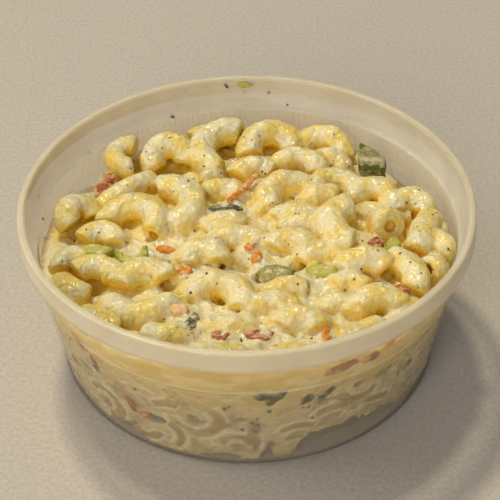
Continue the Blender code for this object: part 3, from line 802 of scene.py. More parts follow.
# %% The shape of the dressing
CREAM_CROWN = 33.8
CREAM_SLOPE_START = 20.0
CREAM_SHOULDER = 46.0
CREAM_SHOULDER_LEVEL = 31.6
EDGE_DROP = 2.3
FRONT_EDGE_DROP = -1.4
FRONT_SPREAD = 70.0
FRONT_FILL = 2.6
FRONT_FILL_SPREAD = 105.0
FRONT_FILL_REACH = (20.0, 38.0)
GRID_STEP = 0.53
GRID_LOW = 25.0
GRID_HIGH = 43.0
GRID_REACH = 54.5
GRID_START = (-GRID_REACH, -GRID_REACH, GRID_LOW)
THICK_MIDDLE = (6.0, -15.0)
THICK_REACH = (37.0, 36.0)
THICK_EDGE = (1.3, 0.65)
THICK_RISE = 1.1
WALL_OVERLAP = 0.05
DIPS = [
    (-20.5, 32.0, 3.2, 5.0), (-31.0, 33.0, 3.0, 3.5), (-32.5, 13.0, 2.6, 3.5), (13.0, 24.0, 3.4, 3.0),
    (12.0, 21.5, 2.0, 4.0), (18.5, 26.0, 2.4, 3.0), (33.0, 13.5, 2.4, 3.0), (40.5, 9.0, 2.0, 3.0),
    (-39.5, -18.0, 3.4, 4.5), (-0.5, -13.5, 2.0, 3.5), (3.6, -19.0, 1.8, 3.5), (12.6, -14.8, 1.8, 3.5),
    (-9.5, -20.5, 2.4, 3.0), (-6.0, -26.0, 2.8, 3.2), (6.5, -21.5, 1.6, 2.5), (26.8, -25.8, 2.0, 3.0),
    (37.5, -6.0, 3.0, 3.0), (-1.5, 29.5, 2.6, 3.5), (30.5, 3.0, 2.2, 2.5), (44.0, 0.0, 2.4, 2.5),
    (40.0, 30.0, 8.0, 4.0), (-40.0, 30.0, 6.0, 3.0), (-48.0, 18.0, 4.0, 1.5), (47.0, 20.0, 5.0, 2.5),
]


def waves(points, size, seed):
    """Smooth bumps of about the given width: a few crossed waves, from about -1 to 1."""
    draw = np.random.default_rng(seed)
    total = np.zeros(points.shape[:-1], np.float32)
    for octave in (1, 2):
        for _ in range(6):
            direction = draw.normal(size=3)
            direction *= 2 * math.pi * octave / (size * np.linalg.norm(direction))
            phase = draw.uniform(0, 2 * math.pi)
            total += np.sin(points @ direction.astype(np.float32) + phase) / octave
    return total / 2.6


def soft_step(value):
    value = np.clip(value, 0, 1)
    return value * value * (3 - 2 * value)


def ramp(value, start, end):
    """0 up to the start and 1 from the end on, with soft ends. The end may lie below the start."""
    return soft_step((value - start) / (end - start))


def thick_share(x, y):
    """1 in the middle and front, where the dressing lies thick, and 0 at the other edges."""
    away = np.hypot((x - THICK_MIDDLE[0]) / THICK_REACH[0], (y - THICK_MIDDLE[1]) / THICK_REACH[1])
    return ramp(away, *THICK_EDGE)


def cream_level(x, y):
    """Height of the dressing between the elbows."""
    reach = np.hypot(x, y)
    turn = np.abs((np.degrees(np.arctan2(y, x)) + 90 + 180) % 360 - 180)
    drop = EDGE_DROP + soft_step(1 - turn / FRONT_SPREAD) * (FRONT_EDGE_DROP - EDGE_DROP)
    slope = ramp(reach, CREAM_SLOPE_START, CREAM_SHOULDER)
    level = CREAM_CROWN + slope * (CREAM_SHOULDER_LEVEL - CREAM_CROWN)
    level -= drop * ramp(reach, CREAM_SHOULDER, RIB_RADIUS)
    level += FRONT_FILL * soft_step(1 - turn / FRONT_FILL_SPREAD) * ramp(reach, *FRONT_FILL_REACH)
    level += THICK_RISE * thick_share(x, y)
    for dip_x, dip_y, width, depth in DIPS:
        level -= depth * np.exp(-((x - dip_x) ** 2 + (y - dip_y) ** 2) / width**2)
    return level


def soft_minimum(first, second, softness):
    share = np.clip(0.5 + 0.5 * (second - first) / softness, 0, 1)
    return second + share * (first - second) - softness * share * (1 - share)


def tube_distances(points, arc):
    """Distance from an arc's line, and how far past either end of it a point lies."""
    centre, out, along, axis, radius, sweep = arc
    offset = points - centre.astype(np.float32)
    ahead = offset @ along.astype(np.float32)
    outward = offset @ out.astype(np.float32)
    turn = np.arctan2(ahead, outward) - sweep / 2
    turn = (turn + math.pi) % (2 * math.pi) - math.pi
    ring = np.hypot(ahead, outward) - radius
    return np.hypot(ring, offset @ axis.astype(np.float32)), radius * (np.abs(turn) - sweep / 2)


axis_values = np.arange(-GRID_REACH, GRID_REACH + GRID_STEP, GRID_STEP, dtype=np.float32)
height_values = np.arange(GRID_LOW, GRID_HIGH, GRID_STEP, dtype=np.float32)
grid = np.stack(np.meshgrid(axis_values, axis_values, height_values, indexing="ij"), axis=-1)
print("grid points", grid[..., 0].size)

# %% [markdown]
# Vegetables sit in the dressing: it climbs a little round each piece and leaves its top bare. A ray sent
# straight down each column of the grid finds how high the pieces reach. Spread by a millimetre or two,
# those heights lift the pools round a piece, and just over it they cap them.

# %% Room for the vegetables
COLLAR_SPREAD = 1.5
COLLAR_DROP = 0.7
COLLAR_RISE = 1.3
CAP_ROOM = 0.12
CAP_SLOPE = 4.0
NOWHERE = -99.0


def vegetable_tops():
    """How high the vegetables reach in each column of the grid."""
    tops = np.full(grid.shape[:2], NOWHERE, np.float32)
    for name in frame["nodes"]:
        if name in ("tub", "salad"):
            continue
        mesh = frame["nodes"][name].data
        corners = [face.vertices for face in mesh.polygons]
        tree = BVHTree.FromPolygons([vert.co for vert in mesh.vertices], corners)
        low, high = (np.array(corner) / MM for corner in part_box(name))
        start = ((low[:2] + GRID_REACH) / GRID_STEP).astype(int)
        stop = ((high[:2] + GRID_REACH) / GRID_STEP).astype(int) + 2
        for i in range(start[0], stop[0]):
            for j in range(start[1], stop[1]):
                above = Vector((axis_values[i], axis_values[j], GRID_HIGH)) * MM
                hit = tree.ray_cast(above, Vector((0, 0, -1)))[0]
                if hit is not None:
                    tops[i, j] = max(tops[i, j], hit.z / MM)
    return tops


def spread_out(heights, reach):
    """Gives each column the greatest height within a reach in millimetres."""
    cells = round(reach / GRID_STEP)
    widest = heights
    for x in range(-cells, cells + 1):
        for y in range(-cells, cells + 1):
            if math.hypot(x, y) <= cells:
                widest = np.maximum(widest, np.roll(heights, (x, y), (0, 1)))
    return widest


def blurred(values, times):
    for _ in range(times):
        for axis in (0, 1):
            values = (np.roll(values, 1, axis) + values + np.roll(values, -1, axis)) / 3
    return values


tops = vegetable_tops()
covered = blurred((tops > NOWHERE).astype(np.float32), 2)
mean_tops = blurred(np.where(tops > NOWHERE, tops, 0), 2) / np.maximum(covered, 0.01)
cap = mean_tops + CAP_ROOM + CAP_SLOPE * (1 - soft_step(1.5 * covered))
cap = np.where(covered > 0.02, cap, -NOWHERE)
collar_tops = spread_out(tops, COLLAR_SPREAD) - COLLAR_DROP
print("columns under vegetables", int((tops > NOWHERE).sum()))

# %% [markdown]
# Each tube is only worked out in a small block of the grid round it, which keeps this quick. Three
# fields come out: the tubes themselves, the film that coats them and the bores that must stay open.
# Dressing plugs most of the bores, and only the ends near a few known places show a hole.

# %% Tubes, coats and bores on the grid
FAR = 20.0
BLOCK_MARGIN = 3.0
FILM_THICK = 0.34
FILM_THIN = -0.10
FILM_SWING = 0.26
FILM_RIPPLE = 0.10
END_COVER = 0.2
END_ROUND = 0.8
COAT_SOFTNESS = 0.5
PLUG_SHARE = 0.80
PLUG_MIDDLE = 1.2
PLUG_HALF = 1.3
BORE_REACH = 2.5
OPEN_BORES = [
    (-7.0, 27.0), (19.5, 26.0), (13.0, 37.0), (37.0, -0.5), (45.0, -17.5), (16.5, 18.0), (26.0, 34.5),
    (-31.0, 30.0), (-24.0, -1.0), (-6.6, -13.0), (-1.0, -32.0), (35.0, -16.5), (29.3, -23.8),
    (-33.0, -17.5), (-46.0, 3.0), (14.5, -13.5), (-20.5, -21.0), (-18.4, -28.0), (20.0, -3.5),
    (46.0, 7.5), (-16.5, 32.5), (29.0, 17.0),
]
OPEN_REACH = 1.5

reach = np.hypot(grid[..., 0], grid[..., 1])
thick = thick_share(grid[..., 0], grid[..., 1])
film = FILM_THIN + (FILM_THICK - FILM_THIN) * thick + FILM_SWING * waves(grid, 9.0, seed=11)
film += FILM_RIPPLE * waves(grid, 3.4, seed=17)
tubes, coats, bores = (np.full(reach.shape, FAR, np.float32) for _ in range(3))


def block_round(arc, margin):
    """The slices of the grid that hold an arc with a margin."""
    centre, out, along, _, radius, sweep = arc
    turns = np.linspace(0, sweep, 12)
    line = centre + radius * (np.outer(np.cos(turns), out) + np.outer(np.sin(turns), along))
    low = ((line.min(axis=0) - margin - GRID_START) / GRID_STEP).astype(int)
    high = ((line.max(axis=0) + margin - GRID_START) / GRID_STEP).astype(int) + 2
    return tuple(slice(max(start, 0), max(stop, 0)) for start, stop in zip(low, high))


def rounded(across, ahead, radius):
    """Distance to a shape that two distances bound, with its edge rounded."""
    across = across + radius
    ahead = ahead + radius
    outside = np.hypot(np.maximum(across, 0), np.maximum(ahead, 0))
    return np.minimum(np.maximum(across, ahead), 0) + outside - radius


def add_tube(arc, half_width):
    """Adds one tube to the fields: its body, its coat, its plugs and its open bores."""
    block = block_round(arc, half_width + BLOCK_MARGIN)
    if tubes[block].size == 0:
        return
    line_distance, past_end = tube_distances(grid[block], arc)
    tubes[block] = np.minimum(tubes[block], np.maximum(line_distance - half_width, past_end))
    coat = rounded(line_distance - half_width - film[block], past_end + END_COVER, END_ROUND)
    plug_ends = np.abs(past_end + PLUG_MIDDLE) - PLUG_HALF
    plug = np.maximum(line_distance - PLUG_SHARE * half_width, plug_ends)
    coats[block] = soft_minimum(coats[block], np.minimum(coat, plug), COAT_SOFTNESS)
    centre, out, along, _, radius, sweep = arc
    for turn in (0, sweep):
        end = centre + radius * (math.cos(turn) * out + math.sin(turn) * along)
        if any(math.dist(end[:2], place) < OPEN_REACH for place in OPEN_BORES):
            near_end = np.linalg.norm(grid[block] - end.astype(np.float32), axis=-1)
            bore = np.maximum(line_distance - half_width * BORE_SHARE, near_end - BORE_REACH)
            bores[block] = np.minimum(bores[block], bore)


for arc, half_width in heap_arcs + wall_arcs:
    add_tube(arc, half_width)
print("tubes on the grid", len(heap_arcs + wall_arcs))

# %% [markdown]
# The pools follow the level, with lumps and small ripples. They are joined with the coats, softly where
# the dressing is thick and tightly where it is thin. Then the bores, the room over the vegetables and
# the tub's wall are cut out of the sum.

# %% The dressing as one field
JOIN_THIN = 0.7
JOIN_THICK = 1.3
LUMP_SWING = 0.34
RIPPLE_THIN = 0.18
RIPPLE_MORE = 0.16

level = cream_level(grid[:, :, 0, 0], grid[:, :, 0, 1])
level = level + blurred(np.clip(collar_tops - level, 0, COLLAR_RISE), 2)
lumps = LUMP_SWING * waves(grid, 6.5, seed=5)
lumps += (RIPPLE_THIN + RIPPLE_MORE * thick) * waves(grid, 2.4, seed=8)
pools = grid[..., 2] - level[:, :, None] - lumps
cream = soft_minimum(pools, coats, JOIN_THIN + (JOIN_THICK - JOIN_THIN) * thick)
cream = np.maximum(cream, -bores)
cream = np.maximum(cream, grid[..., 2] - cap[:, :, None])
cream = np.maximum(cream, reach - inner_radius(grid[..., 2]).astype(np.float32) - WALL_OVERLAP)
print("cream inside the grid", round(float((cream < 0).mean()), 3))


# %% [markdown]
# The skin is drawn edge by edge. Where a grid edge crosses from dressing to air, the four cells round
# it are joined by one face, and each cell's point sits at the mean of its crossings.


# %% A skin where the field crosses zero
def draw_skin(field):
    """Points and four-sided faces where the field changes sign."""
    size = field.size
    total = np.zeros((3, size))
    count = np.zeros(size)
    quads = []
    for axis in range(3):
        side_b = (axis + 1) % 3
        side_c = (axis + 2) % 3
        low = np.moveaxis(field, axis, 0)[:-1]
        high = np.moveaxis(field, axis, 0)[1:]
        found = np.argwhere((low < 0) != (high < 0))
        low = low[tuple(found.T)]
        high = high[tuple(found.T)]
        rest = [other for other in range(3) if other != axis]
        at = np.empty_like(found)
        at[:, axis] = found[:, 0]
        at[:, rest[0]] = found[:, 1]
        at[:, rest[1]] = found[:, 2]
        kept = (at[:, side_b] > 0) & (at[:, side_c] > 0)
        at, low, high = at[kept], low[kept], high[kept]
        crossing = at.astype(float)
        crossing[:, axis] += low / (low - high)
        corners = []
        for shift_b, shift_c in ((0, 0), (1, 0), (1, 1), (0, 1)):
            cell = at.copy()
            cell[:, side_b] -= shift_b
            cell[:, side_c] -= shift_c
            index = np.ravel_multi_index(cell.T, field.shape)
            corners.append(index)
            count += np.bincount(index, minlength=size)
            for k in range(3):
                total[k] += np.bincount(index, weights=crossing[:, k], minlength=size)
        ring = np.stack(corners, axis=1)
        ring[low >= 0] = ring[low >= 0][:, ::-1]
        quads.append(ring)
    used = np.flatnonzero(count)
    renumber = np.zeros(size, int)
    renumber[used] = np.arange(len(used))
    points = (total[:, used] / count[used]).T
    return points, renumber[np.concatenate(quads)]


def close_and_clean(obj):
    """Keeps the largest shell and closes its cut edge with one face."""
    bm = bmesh.new()
    bm.from_mesh(obj.data)
    left = set(bm.verts)
    largest = []
    while left:
        stack = [left.pop()]
        shell = list(stack)
        while stack:
            for edge in stack.pop().link_edges:
                for vert in edge.verts:
                    if vert in left:
                        left.remove(vert)
                        stack.append(vert)
                        shell.append(vert)
        if len(shell) > len(largest):
            largest = shell
    kept = set(largest)
    bmesh.ops.delete(bm, geom=[vert for vert in bm.verts if vert not in kept], context="VERTS")
    bmesh.ops.holes_fill(bm, edges=[edge for edge in bm.edges if edge.is_boundary], sides=0)
    bm.to_mesh(obj.data)
    bm.free()


skin_points, skin_faces = draw_skin(cream)
skin_points = skin_points * GRID_STEP + GRID_START
dressing = mesh_object("dressing", skin_points, skin_faces.tolist(), dressing_material)
close_and_clean(dressing)
dressing.data.shade_smooth()
print("dressing faces", len(dressing.data.polygons))

# %% [markdown]
# ## How deep and how thick
#
# Two numbers on each point help the materials. "film" is the thickness of dressing over the nearest
# tube, read back from the field of the tubes. "depth" says how far a point lies below the heap's
# blurred top, so that cracks and bores turn amber as they do in cooked pasta.

# %% Film and depth for the materials
# How far below the blurred top a point lies, the bores and how steeply a face looks down set the painted
# shade; the upward range sets where the painted light on tops falls.
DEPTH_BLUR = 9
DEPTH_RANGE = (-0.3, 4.2)
BORE_DEPTH_SHADE = 0.75
STEEP_SHADE = 0.40
STEEP_RANGE = (0.6, -0.5)
UPWARD_RANGE = (-0.05, 0.75)
OFF_WALL_RANGE = (0.6, 2.2)
OFF_FLOOR_RANGE = (GRID_LOW, GRID_LOW + 2.0)
AT_WALL_RANGE = (1.2, 0.2)
OUTWARD_RANGE = (0.0, 0.5)
ELBOW_OVERLAP = 0.10


def sample(field, points, start):
    """Reads a grid of numbers at points, as the weighted mean of the grid points round each."""
    place = (points - start) / GRID_STEP
    place = np.clip(place, 0, np.array(field.shape) - 1.001)
    corner = place.astype(int)
    share = place - corner
    total = np.zeros(len(points))
    for number in range(2**field.ndim):
        step = np.array([number >> axis & 1 for axis in range(field.ndim)])
        weight = np.where(step == 1, share, 1 - share).prod(axis=1)
        total += weight * field[tuple((corner + step).T)]
    return total


solid = np.minimum(cream, tubes) < 0
top = GRID_LOW + GRID_STEP * (solid.shape[2] - 1 - np.argmax(solid[:, :, ::-1], axis=2))
top = np.where(solid.any(axis=2), top, GRID_LOW)
for _ in range(DEPTH_BLUR):
    for axis in (0, 1):
        top = (np.roll(top, 2, axis) + top + np.roll(top, -2, axis)) / 3


def wall_gap(points):
    """How far points lie inside the tub's wall."""
    return inner_radius(points[:, 2]) - np.hypot(points[:, 0], points[:, 1])


def set_depth(obj, extra=0.0):
    """Marks what faces up, for the painted light on tops, and paints shade on what lies low or faces away.
    """
    points = points_of(obj)
    facing = normals_of(obj)[:, 2]
    # Painted light: the cream patches stay on upward faces, so tops look paler.
    set_attribute(obj, "up", ramp(facing, *UPWARD_RANGE))
    below = sample(top, points[:, :2], GRID_START[:2]) - points[:, 2]
    # Painted shade: amber below the blurred top and on faces that look down or away.
    deep = ramp(below, *DEPTH_RANGE) + STEEP_SHADE * ramp(facing, *STEEP_RANGE)
    deep *= ramp(wall_gap(points), *OFF_WALL_RANGE) * ramp(points[:, 2], *OFF_FLOOR_RANGE)
    set_attribute(obj, "depth", np.clip(deep + extra, 0, 1))


def mark_wall(obj):
    """Marks what lies at the wall and faces it, where the painted shade and light of the tub's side take
    over.
    """
    points = points_of(obj)
    outward = (normals_of(obj)[:, :2] * points[:, :2]).sum(axis=1) / np.hypot(points[:, 0], points[:, 1])
    at_wall = ramp(wall_gap(points), *AT_WALL_RANGE) * ramp(outward, *OUTWARD_RANGE)
    set_attribute(obj, "at_wall", at_wall)


def press_to_wall(obj, overlap):
    """Flattens what would pass through the tub's wall, as food pressed on the plastic is."""
    points = points_of(obj)
    reach = np.hypot(points[:, 0], points[:, 1])
    limit = inner_radius(points[:, 2]) + overlap
    points[:, :2] *= np.minimum(1, limit / np.maximum(reach, 1e-6))[:, None]
    points[:, 2] = np.maximum(points[:, 2], WALL - overlap)
    set_points(obj, points)


set_attribute(dressing, "film", sample(tubes, points_of(dressing), GRID_START))
set_depth(dressing)
bore_points = np.empty(len(elbows.data.vertices), np.float32)
elbows.data.attributes["inside"].data.foreach_get("value", bore_points)
set_depth(elbows, extra=BORE_DEPTH_SHADE * bore_points)
press_to_wall(elbows, ELBOW_OVERLAP)
mark_wall(elbows)
mark_wall(dressing)
print("film and depth set on", dressing.name, "and", elbows.name)

# %% [markdown]
# ## The dressing against the wall
#
# Below the heap the dressing lies against the plastic nearly everywhere. It is one turned skin whose
# radius follows the inner wall, with hollows where air stayed trapped: grey, see-through shapes in
# front, the largest at the lower right. The hollows stand back from the wall by a few millimetres, and
# painted shade darkens them.

# %% The dressing against the wall
WALL_STEPS = 72
WALL_SIDES = 720
WALL_FOOT = WALL + WALL_OVERLAP
WALL_TOP = 26.0
HOLLOWS = [
    (-25.0, 12.2, 3.4, 1.9, 2.5), (1.2, 10.5, 1.6, 5.5, 1.0), (5.4, 6.6, 1.4, 1.8, 1.2),
    (-13.6, 15.6, 2.4, 2.0, 0.9), (27.6, 23.4, 1.6, 1.2, 1.5), (-41.0, 8.2, 1.8, 1.6, 1.0),
    (-30.6, 15.2, 3.4, 1.4, 0.7), (-5.5, 15.0, 1.6, 0.9, 1.0), (-1.5, 18.0, 1.3, 0.8, 0.9),
    (36.0, 23.0, 3.2, 1.6, 0.8), (44.0, 19.0, 4.2, 1.3, 0.9), (19.5, 21.2, 3.4, 0.9, 0.8),
    (-46.0, 18.5, 3.6, 1.0, 0.6), (33.0, 27.0, 4.0, 1.0, 0.6), (11.5, 9.0, 2.6, 0.9, 0.8),
    (-17.0, 21.5, 2.4, 0.9, 0.5),
]
FOOT_EDGE = [
    (-58, 3.5), (-48, 2.6), (-42, 2.4), (-40, 3.9), (-34.5, 5.5), (-30.2, 6.6), (-28.5, 2.0), (-24, 1.0),
    (-14, 1.0), (-12.8, 2.3), (-6.9, 4.1), (0.2, 1.7), (2.0, 0.9), (3.6, 4.4), (5.6, 4.8), (7.0, 1.4),
    (10.6, 1.4), (12.0, 3.0), (12.8, 6.6), (14.6, 8.0), (15.6, 10.6), (18.0, 9.2), (20.6, 10.8),
    (24.0, 9.4), (27.4, 10.6), (31.6, 8.4), (36.0, 8.8), (41.4, 6.4), (52.0, 5.2), (62.0, 3.4),
]
FOOT_DEPTH = 4.0
FOOT_MEAN = 3.2
FOOT_SWING = 2.6
FOOT_RAG = 0.6
FOOT_BANK = 0.5
HOLLOW_DEPTH = 1.5
HOLLOW_RIM = 1.1
HOLLOW_RAG = 0.2
HOLLOW_BANK = 0.3
HOLLOW_RANGE = (0.15, 1.35)
OUTLINE_STRENGTH = 0.65
OUTLINE_GAP = 0.35
OUTLINE_WIDTH = 0.5


def random_hollows():
    draw = random.Random(19)
    rows = []
    run = FRONT_REACH + 8
    while run < WHOLE_RUN - FRONT_REACH:
        middle = (run + draw.uniform(-5, 5), draw.uniform(9, 20))
        rows.append((*middle, draw.uniform(1.5, 4), draw.uniform(1, 2.4), HOLLOW_DEPTH))
        run += draw.uniform(8, 15)
    return rows


def shorter_way(run):
    """The same way round the tub, as a run to the left or right of no more than half of it."""
    return (run + WHOLE_RUN / 2) % WHOLE_RUN - WHOLE_RUN / 2


def foot_height(run):
    """How high the largest hollows reach from the tub's foot."""
    front = np.interp(run, *zip(*FOOT_EDGE))
    elsewhere = FOOT_MEAN + FOOT_SWING * waves(np.stack([run, 0 * run, 0 * run], axis=-1), 34.0, seed=3)
    return np.where(np.abs(run) < FOOT_EDGE[-1][0], front, elsewhere)


def hollow_depth(run, height):
    """How far the dressing stands back from the wall."""
    ragged = waves(np.stack([run, height, 0 * run], axis=-1), 4.0, seed=23)
    foot = foot_height(shorter_way(run)) + FOOT_RAG * ragged
    deepest = FOOT_DEPTH * soft_step((foot - height) / FOOT_BANK)
    for mid_run, mid_height, half_run, half_height, depth in HOLLOWS + random_hollows():
        size = np.hypot(shorter_way(run - mid_run) / half_run, (height - mid_height) / half_height)
        share = soft_step((HOLLOW_RIM + HOLLOW_RAG * ragged - size) / HOLLOW_BANK)
        deepest = np.maximum(deepest, depth * share)
    return deepest


runs = np.arange(WALL_SIDES) * WHOLE_RUN / WALL_SIDES
wall_rings = []
for height in np.linspace(WALL_FOOT, WALL_TOP, WALL_STEPS):
    heights = np.full(WALL_SIDES, height)
    ring = on_wall(runs, heights, hollow_depth(runs, heights) - WALL_OVERLAP)
    wall_rings.append(np.stack(ring, axis=-1).tolist())
wall_skin, wall_faces = skin(wall_rings, (0, 0, WALL_FOOT), (0, 0, WALL_TOP))
dressing_side = mesh_object("dressing_side", wall_skin, wall_faces, side_material)
side_points = points_of(dressing_side)
tube_gap = np.full(len(side_points), FAR)
for arc, half_width in wall_arcs:
    line_distance, past_end = tube_distances(side_points, arc)
    tube_gap = np.minimum(tube_gap, np.maximum(line_distance - half_width, past_end))
outline = soft_step(1 - np.abs(tube_gap - OUTLINE_GAP) / OUTLINE_WIDTH)
set_attribute(dressing_side, "outline", OUTLINE_STRENGTH * outline)
# Painted shade: the farther the dressing stands back from the wall, the darker it is painted.
set_attribute(dressing_side, "hollow", ramp(wall_gap(side_points), *HOLLOW_RANGE))
print("faces against the wall", len(wall_faces))

# %% [markdown]
# ## Vegetables
#
# The frame already holds each piece of vegetable as a plain solid in its right place. A copy of each is
# merged, rounded by a Subdivision Surface with half-creased edges, and roughened. Then the copies of
# one kind are joined, because they share one finish.

# %% Vegetable materials
VEGETABLES = {
    "celery": ((0.53, 0.48, 0.05, 1), (0.72, 0.65, 0.22, 1), (0.32, 0.34, 0.015, 1)),
    "pickle": ((0.31, 0.27, 0.03, 1), (0.66, 0.57, 0.30, 1), (0.14, 0.13, 0.008, 1)),
    "olive": ((0.16, 0.14, 0.08, 1), (0.52, 0.46, 0.30, 1), (0.045, 0.04, 0.02, 1)),
    "carrot": ((0.92, 0.33, 0.03, 1), (0.94, 0.58, 0.20, 1), (0.78, 0.21, 0.012, 1)),
    "pale_carrot": ((0.90, 0.54, 0.22, 1), (0.92, 0.70, 0.38, 1), (0.86, 0.40, 0.13, 1)),
    "red_pepper": ((0.58, 0.16, 0.05, 1), (0.82, 0.46, 0.24, 1), (0.36, 0.06, 0.012, 1)),
    "green_pepper": ((0.25, 0.26, 0.05, 1), (0.66, 0.58, 0.34, 1), (0.13, 0.14, 0.002, 1)),
}
LOOKS = {"celery": ("skinned", 0.9), "pickle": ("skinned", 0.9), "green_pepper": ("banded", 0.5)}
PLAIN_LOOK = ("plain", 0.9)
FIBRE_STRETCH = (1.0, 3.0, 1.0)
VEIN_SIZE = 1.1
BLOTCH_SIZE = 2.2
FIBRE_SIZE = 0.5
FIBRE_RELIEF = 0.18
BAND_EDGES = ((0.44, 0.50), (0.56, 0.60), (0.66, 0.72))
BAND_WAVER = 0.05
MOIST_ROUGHNESS = (0.18, 0.42)
MOIST = {
    **WET,
    "Subsurface Weight": 0.35,
    "Subsurface Radius": (1.0, 1.0, 1.0),
    "Subsurface Scale": 0.5 * MM,
}


def vegetable_material(name, colours, look, smeared):
    """Wet flesh with veins and smears. A skinned kind is dark at its rim, a banded one also at its foot,
    with a pale middle band that is a painted highlight.
    """
    material, tree, shader, place = new_finish(name, MOIST)
    middle, pale, dark = colours
    fibres = node(tree, "ShaderNodeMapping", {"Vector": place, "Scale": FIBRE_STRETCH})
    veins = cloud(tree, fibres, VEIN_SIZE, 3.0, 0.36, 0.66)
    rim = attribute(tree, "rim")
    if look == "skinned":
        inner = mix(tree, remap(tree, rim, 0.0, 1.0, 0.7, 0.0), middle, pale)
        colour = mix(tree, veins, inner, middle)
        colour = mix(tree, remap(tree, rim, 0.5, 1.0, 0.0, 0.8), colour, dark)
    elif look == "banded":
        waver = math_of(tree, "MULTIPLY", veins, BAND_WAVER)
        height = math_of(tree, "ADD", attribute(tree, "height_share"), waver)
        mottled = mix(tree, remap(tree, veins, 0.0, 1.0, 0.0, 0.6), middle, pale)
        colour = dark
        # Over the dark foot come mottled flesh, a pale band that is a painted highlight along the wet edge,
        # and mottled flesh again.
        for edge, above in zip(BAND_EDGES, (mottled, pale, mottled)):
            colour = mix(tree, remap(tree, height, *edge), colour, above)
        upper_rim = math_of(tree, "MULTIPLY", height, rim)
        colour = mix(tree, remap(tree, upper_rim, 0.5, 0.8), colour, dark)
    else:
        colour = mix(tree, veins, middle, dark)
        colour = mix(tree, cloud(tree, fibres, BLOTCH_SIZE, 3.0, 0.48, 0.62, 0.0, 0.8), colour, pale)
    smear = cloud(tree, place, BLOTCH_SIZE, 4.0, 0.54, 0.64, 0.0, smeared)
    colour_with(tree, shader, mix(tree, smear, colour, CREAM))
    gloss = cloud(tree, place, 1.2, 2.0, 0.35, 0.65, *MOIST_ROUGHNESS)
    tree.links.new(gloss, shader.inputs["Roughness"])
    bump(tree, shader, (noise(tree, fibres, FIBRE_SIZE, 3.0), FIBRE_RELIEF))
    return material


finishes = {}
for kind, colours in VEGETABLES.items():
    finishes[kind] = vegetable_material(f"moist_{kind}", colours, *LOOKS.get(kind, PLAIN_LOOK))
print("vegetable finishes", len(finishes))

# %% [markdown]
# Rounding shrinks a piece a little, so each copy is swelled first. The record of the frame says which
# node has which slot, and a kind's pieces stand for all nodes of its slot.

# %% Vegetables on the heap
SWELL = 1.05
CREASE = 0.82
CREASE_ANGLE = math.radians(28)
ROUGHENING = ((0.13, 2.2, 31), (0.08, 1.1, 33))
node_slots = {row["node"]: row["material_slot"] for row in frame["record"]["subparts"]}


def mark_rim(obj):
    """Marks how near each point lies to its piece's outline, and how high it lies on the piece."""
    points = points_of(obj)
    offsets = points - points.mean(axis=0)
    _, _, directions = np.linalg.svd(offsets, full_matrices=False)
    across = np.abs(offsets @ directions[:2].T)
    set_attribute(obj, "rim", soft_step((across / across.max(axis=0)).max(axis=1) * 1.6 - 0.6))
    set_attribute(obj, "height_share", (points[:, 2] - points[:, 2].min()) / np.ptp(points[:, 2]))


def refined_copy(name):
    """A merged, rounded and roughened copy of a node's solid."""
    bm = bmesh.new()
    bm.from_mesh(frame["nodes"][name].data)
    bmesh.ops.remove_doubles(bm, verts=bm.verts, dist=0.001 * MM)
    middle = sum((vert.co for vert in bm.verts), Vector()) / len(bm.verts)
    for vert in bm.verts:
        vert.co = middle + (vert.co - middle) * SWELL
    creases = bm.edges.layers.float.new("crease_edge")
    for edge in bm.edges:
        if edge.is_manifold and edge.calc_face_angle() > CREASE_ANGLE:
            edge[creases] = CREASE
    obj = object_of(f"fine_{name}", bm)
    rounding = obj.modifiers.new("rounding", "SUBSURF")
    rounding.levels = 2
    rounding.render_levels = 2
    settle(obj)
    points = points_of(obj)
    rise = sum(depth * waves(points, size, seed) for depth, size, seed in ROUGHENING)
    set_points(obj, points + normals_of(obj) * rise[:, None])
    mark_rim(obj)
    return obj


def join_pieces(name, parts, material):
    """One plain mesh from several objects, which it takes the place of."""
    bm = bmesh.new()
    for part in parts:
        bm.from_mesh(part.data)
        bpy.data.objects.remove(part, do_unlink=True)
    piece = object_of(name, bm)
    piece.data.shade_smooth()
    piece.data.materials.append(material)
    return piece


vegetable_pieces = []
for kind, finish in finishes.items():
    names = [name for name, slot in node_slots.items() if slot == kind]
    piece = join_pieces(f"{kind}_pieces", [refined_copy(name) for name in names], finish)
    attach(piece, "root")
    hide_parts(*names)
    vegetable_pieces.append(piece)
print("vegetable pieces", [piece.name for piece in vegetable_pieces])

# %% [markdown]
# ## Chips against the wall
#
# A few pieces of carrot, pepper and olive show through the plastic. Each is a flat chip with its outer
# face on the wall and a rounded back, laid out on the flattened wall like the elbows. Each kind gets a
# second, darker and deeper finish there: partly the deeper look of wet pieces pressed on the plastic,
# partly painted shade of the tub's shaded side.

# %% Chips against the wall
CHIP_SIDES = 14
CHIP_DEPTH = 1.3
CHIP_OVERLAP = 0.14
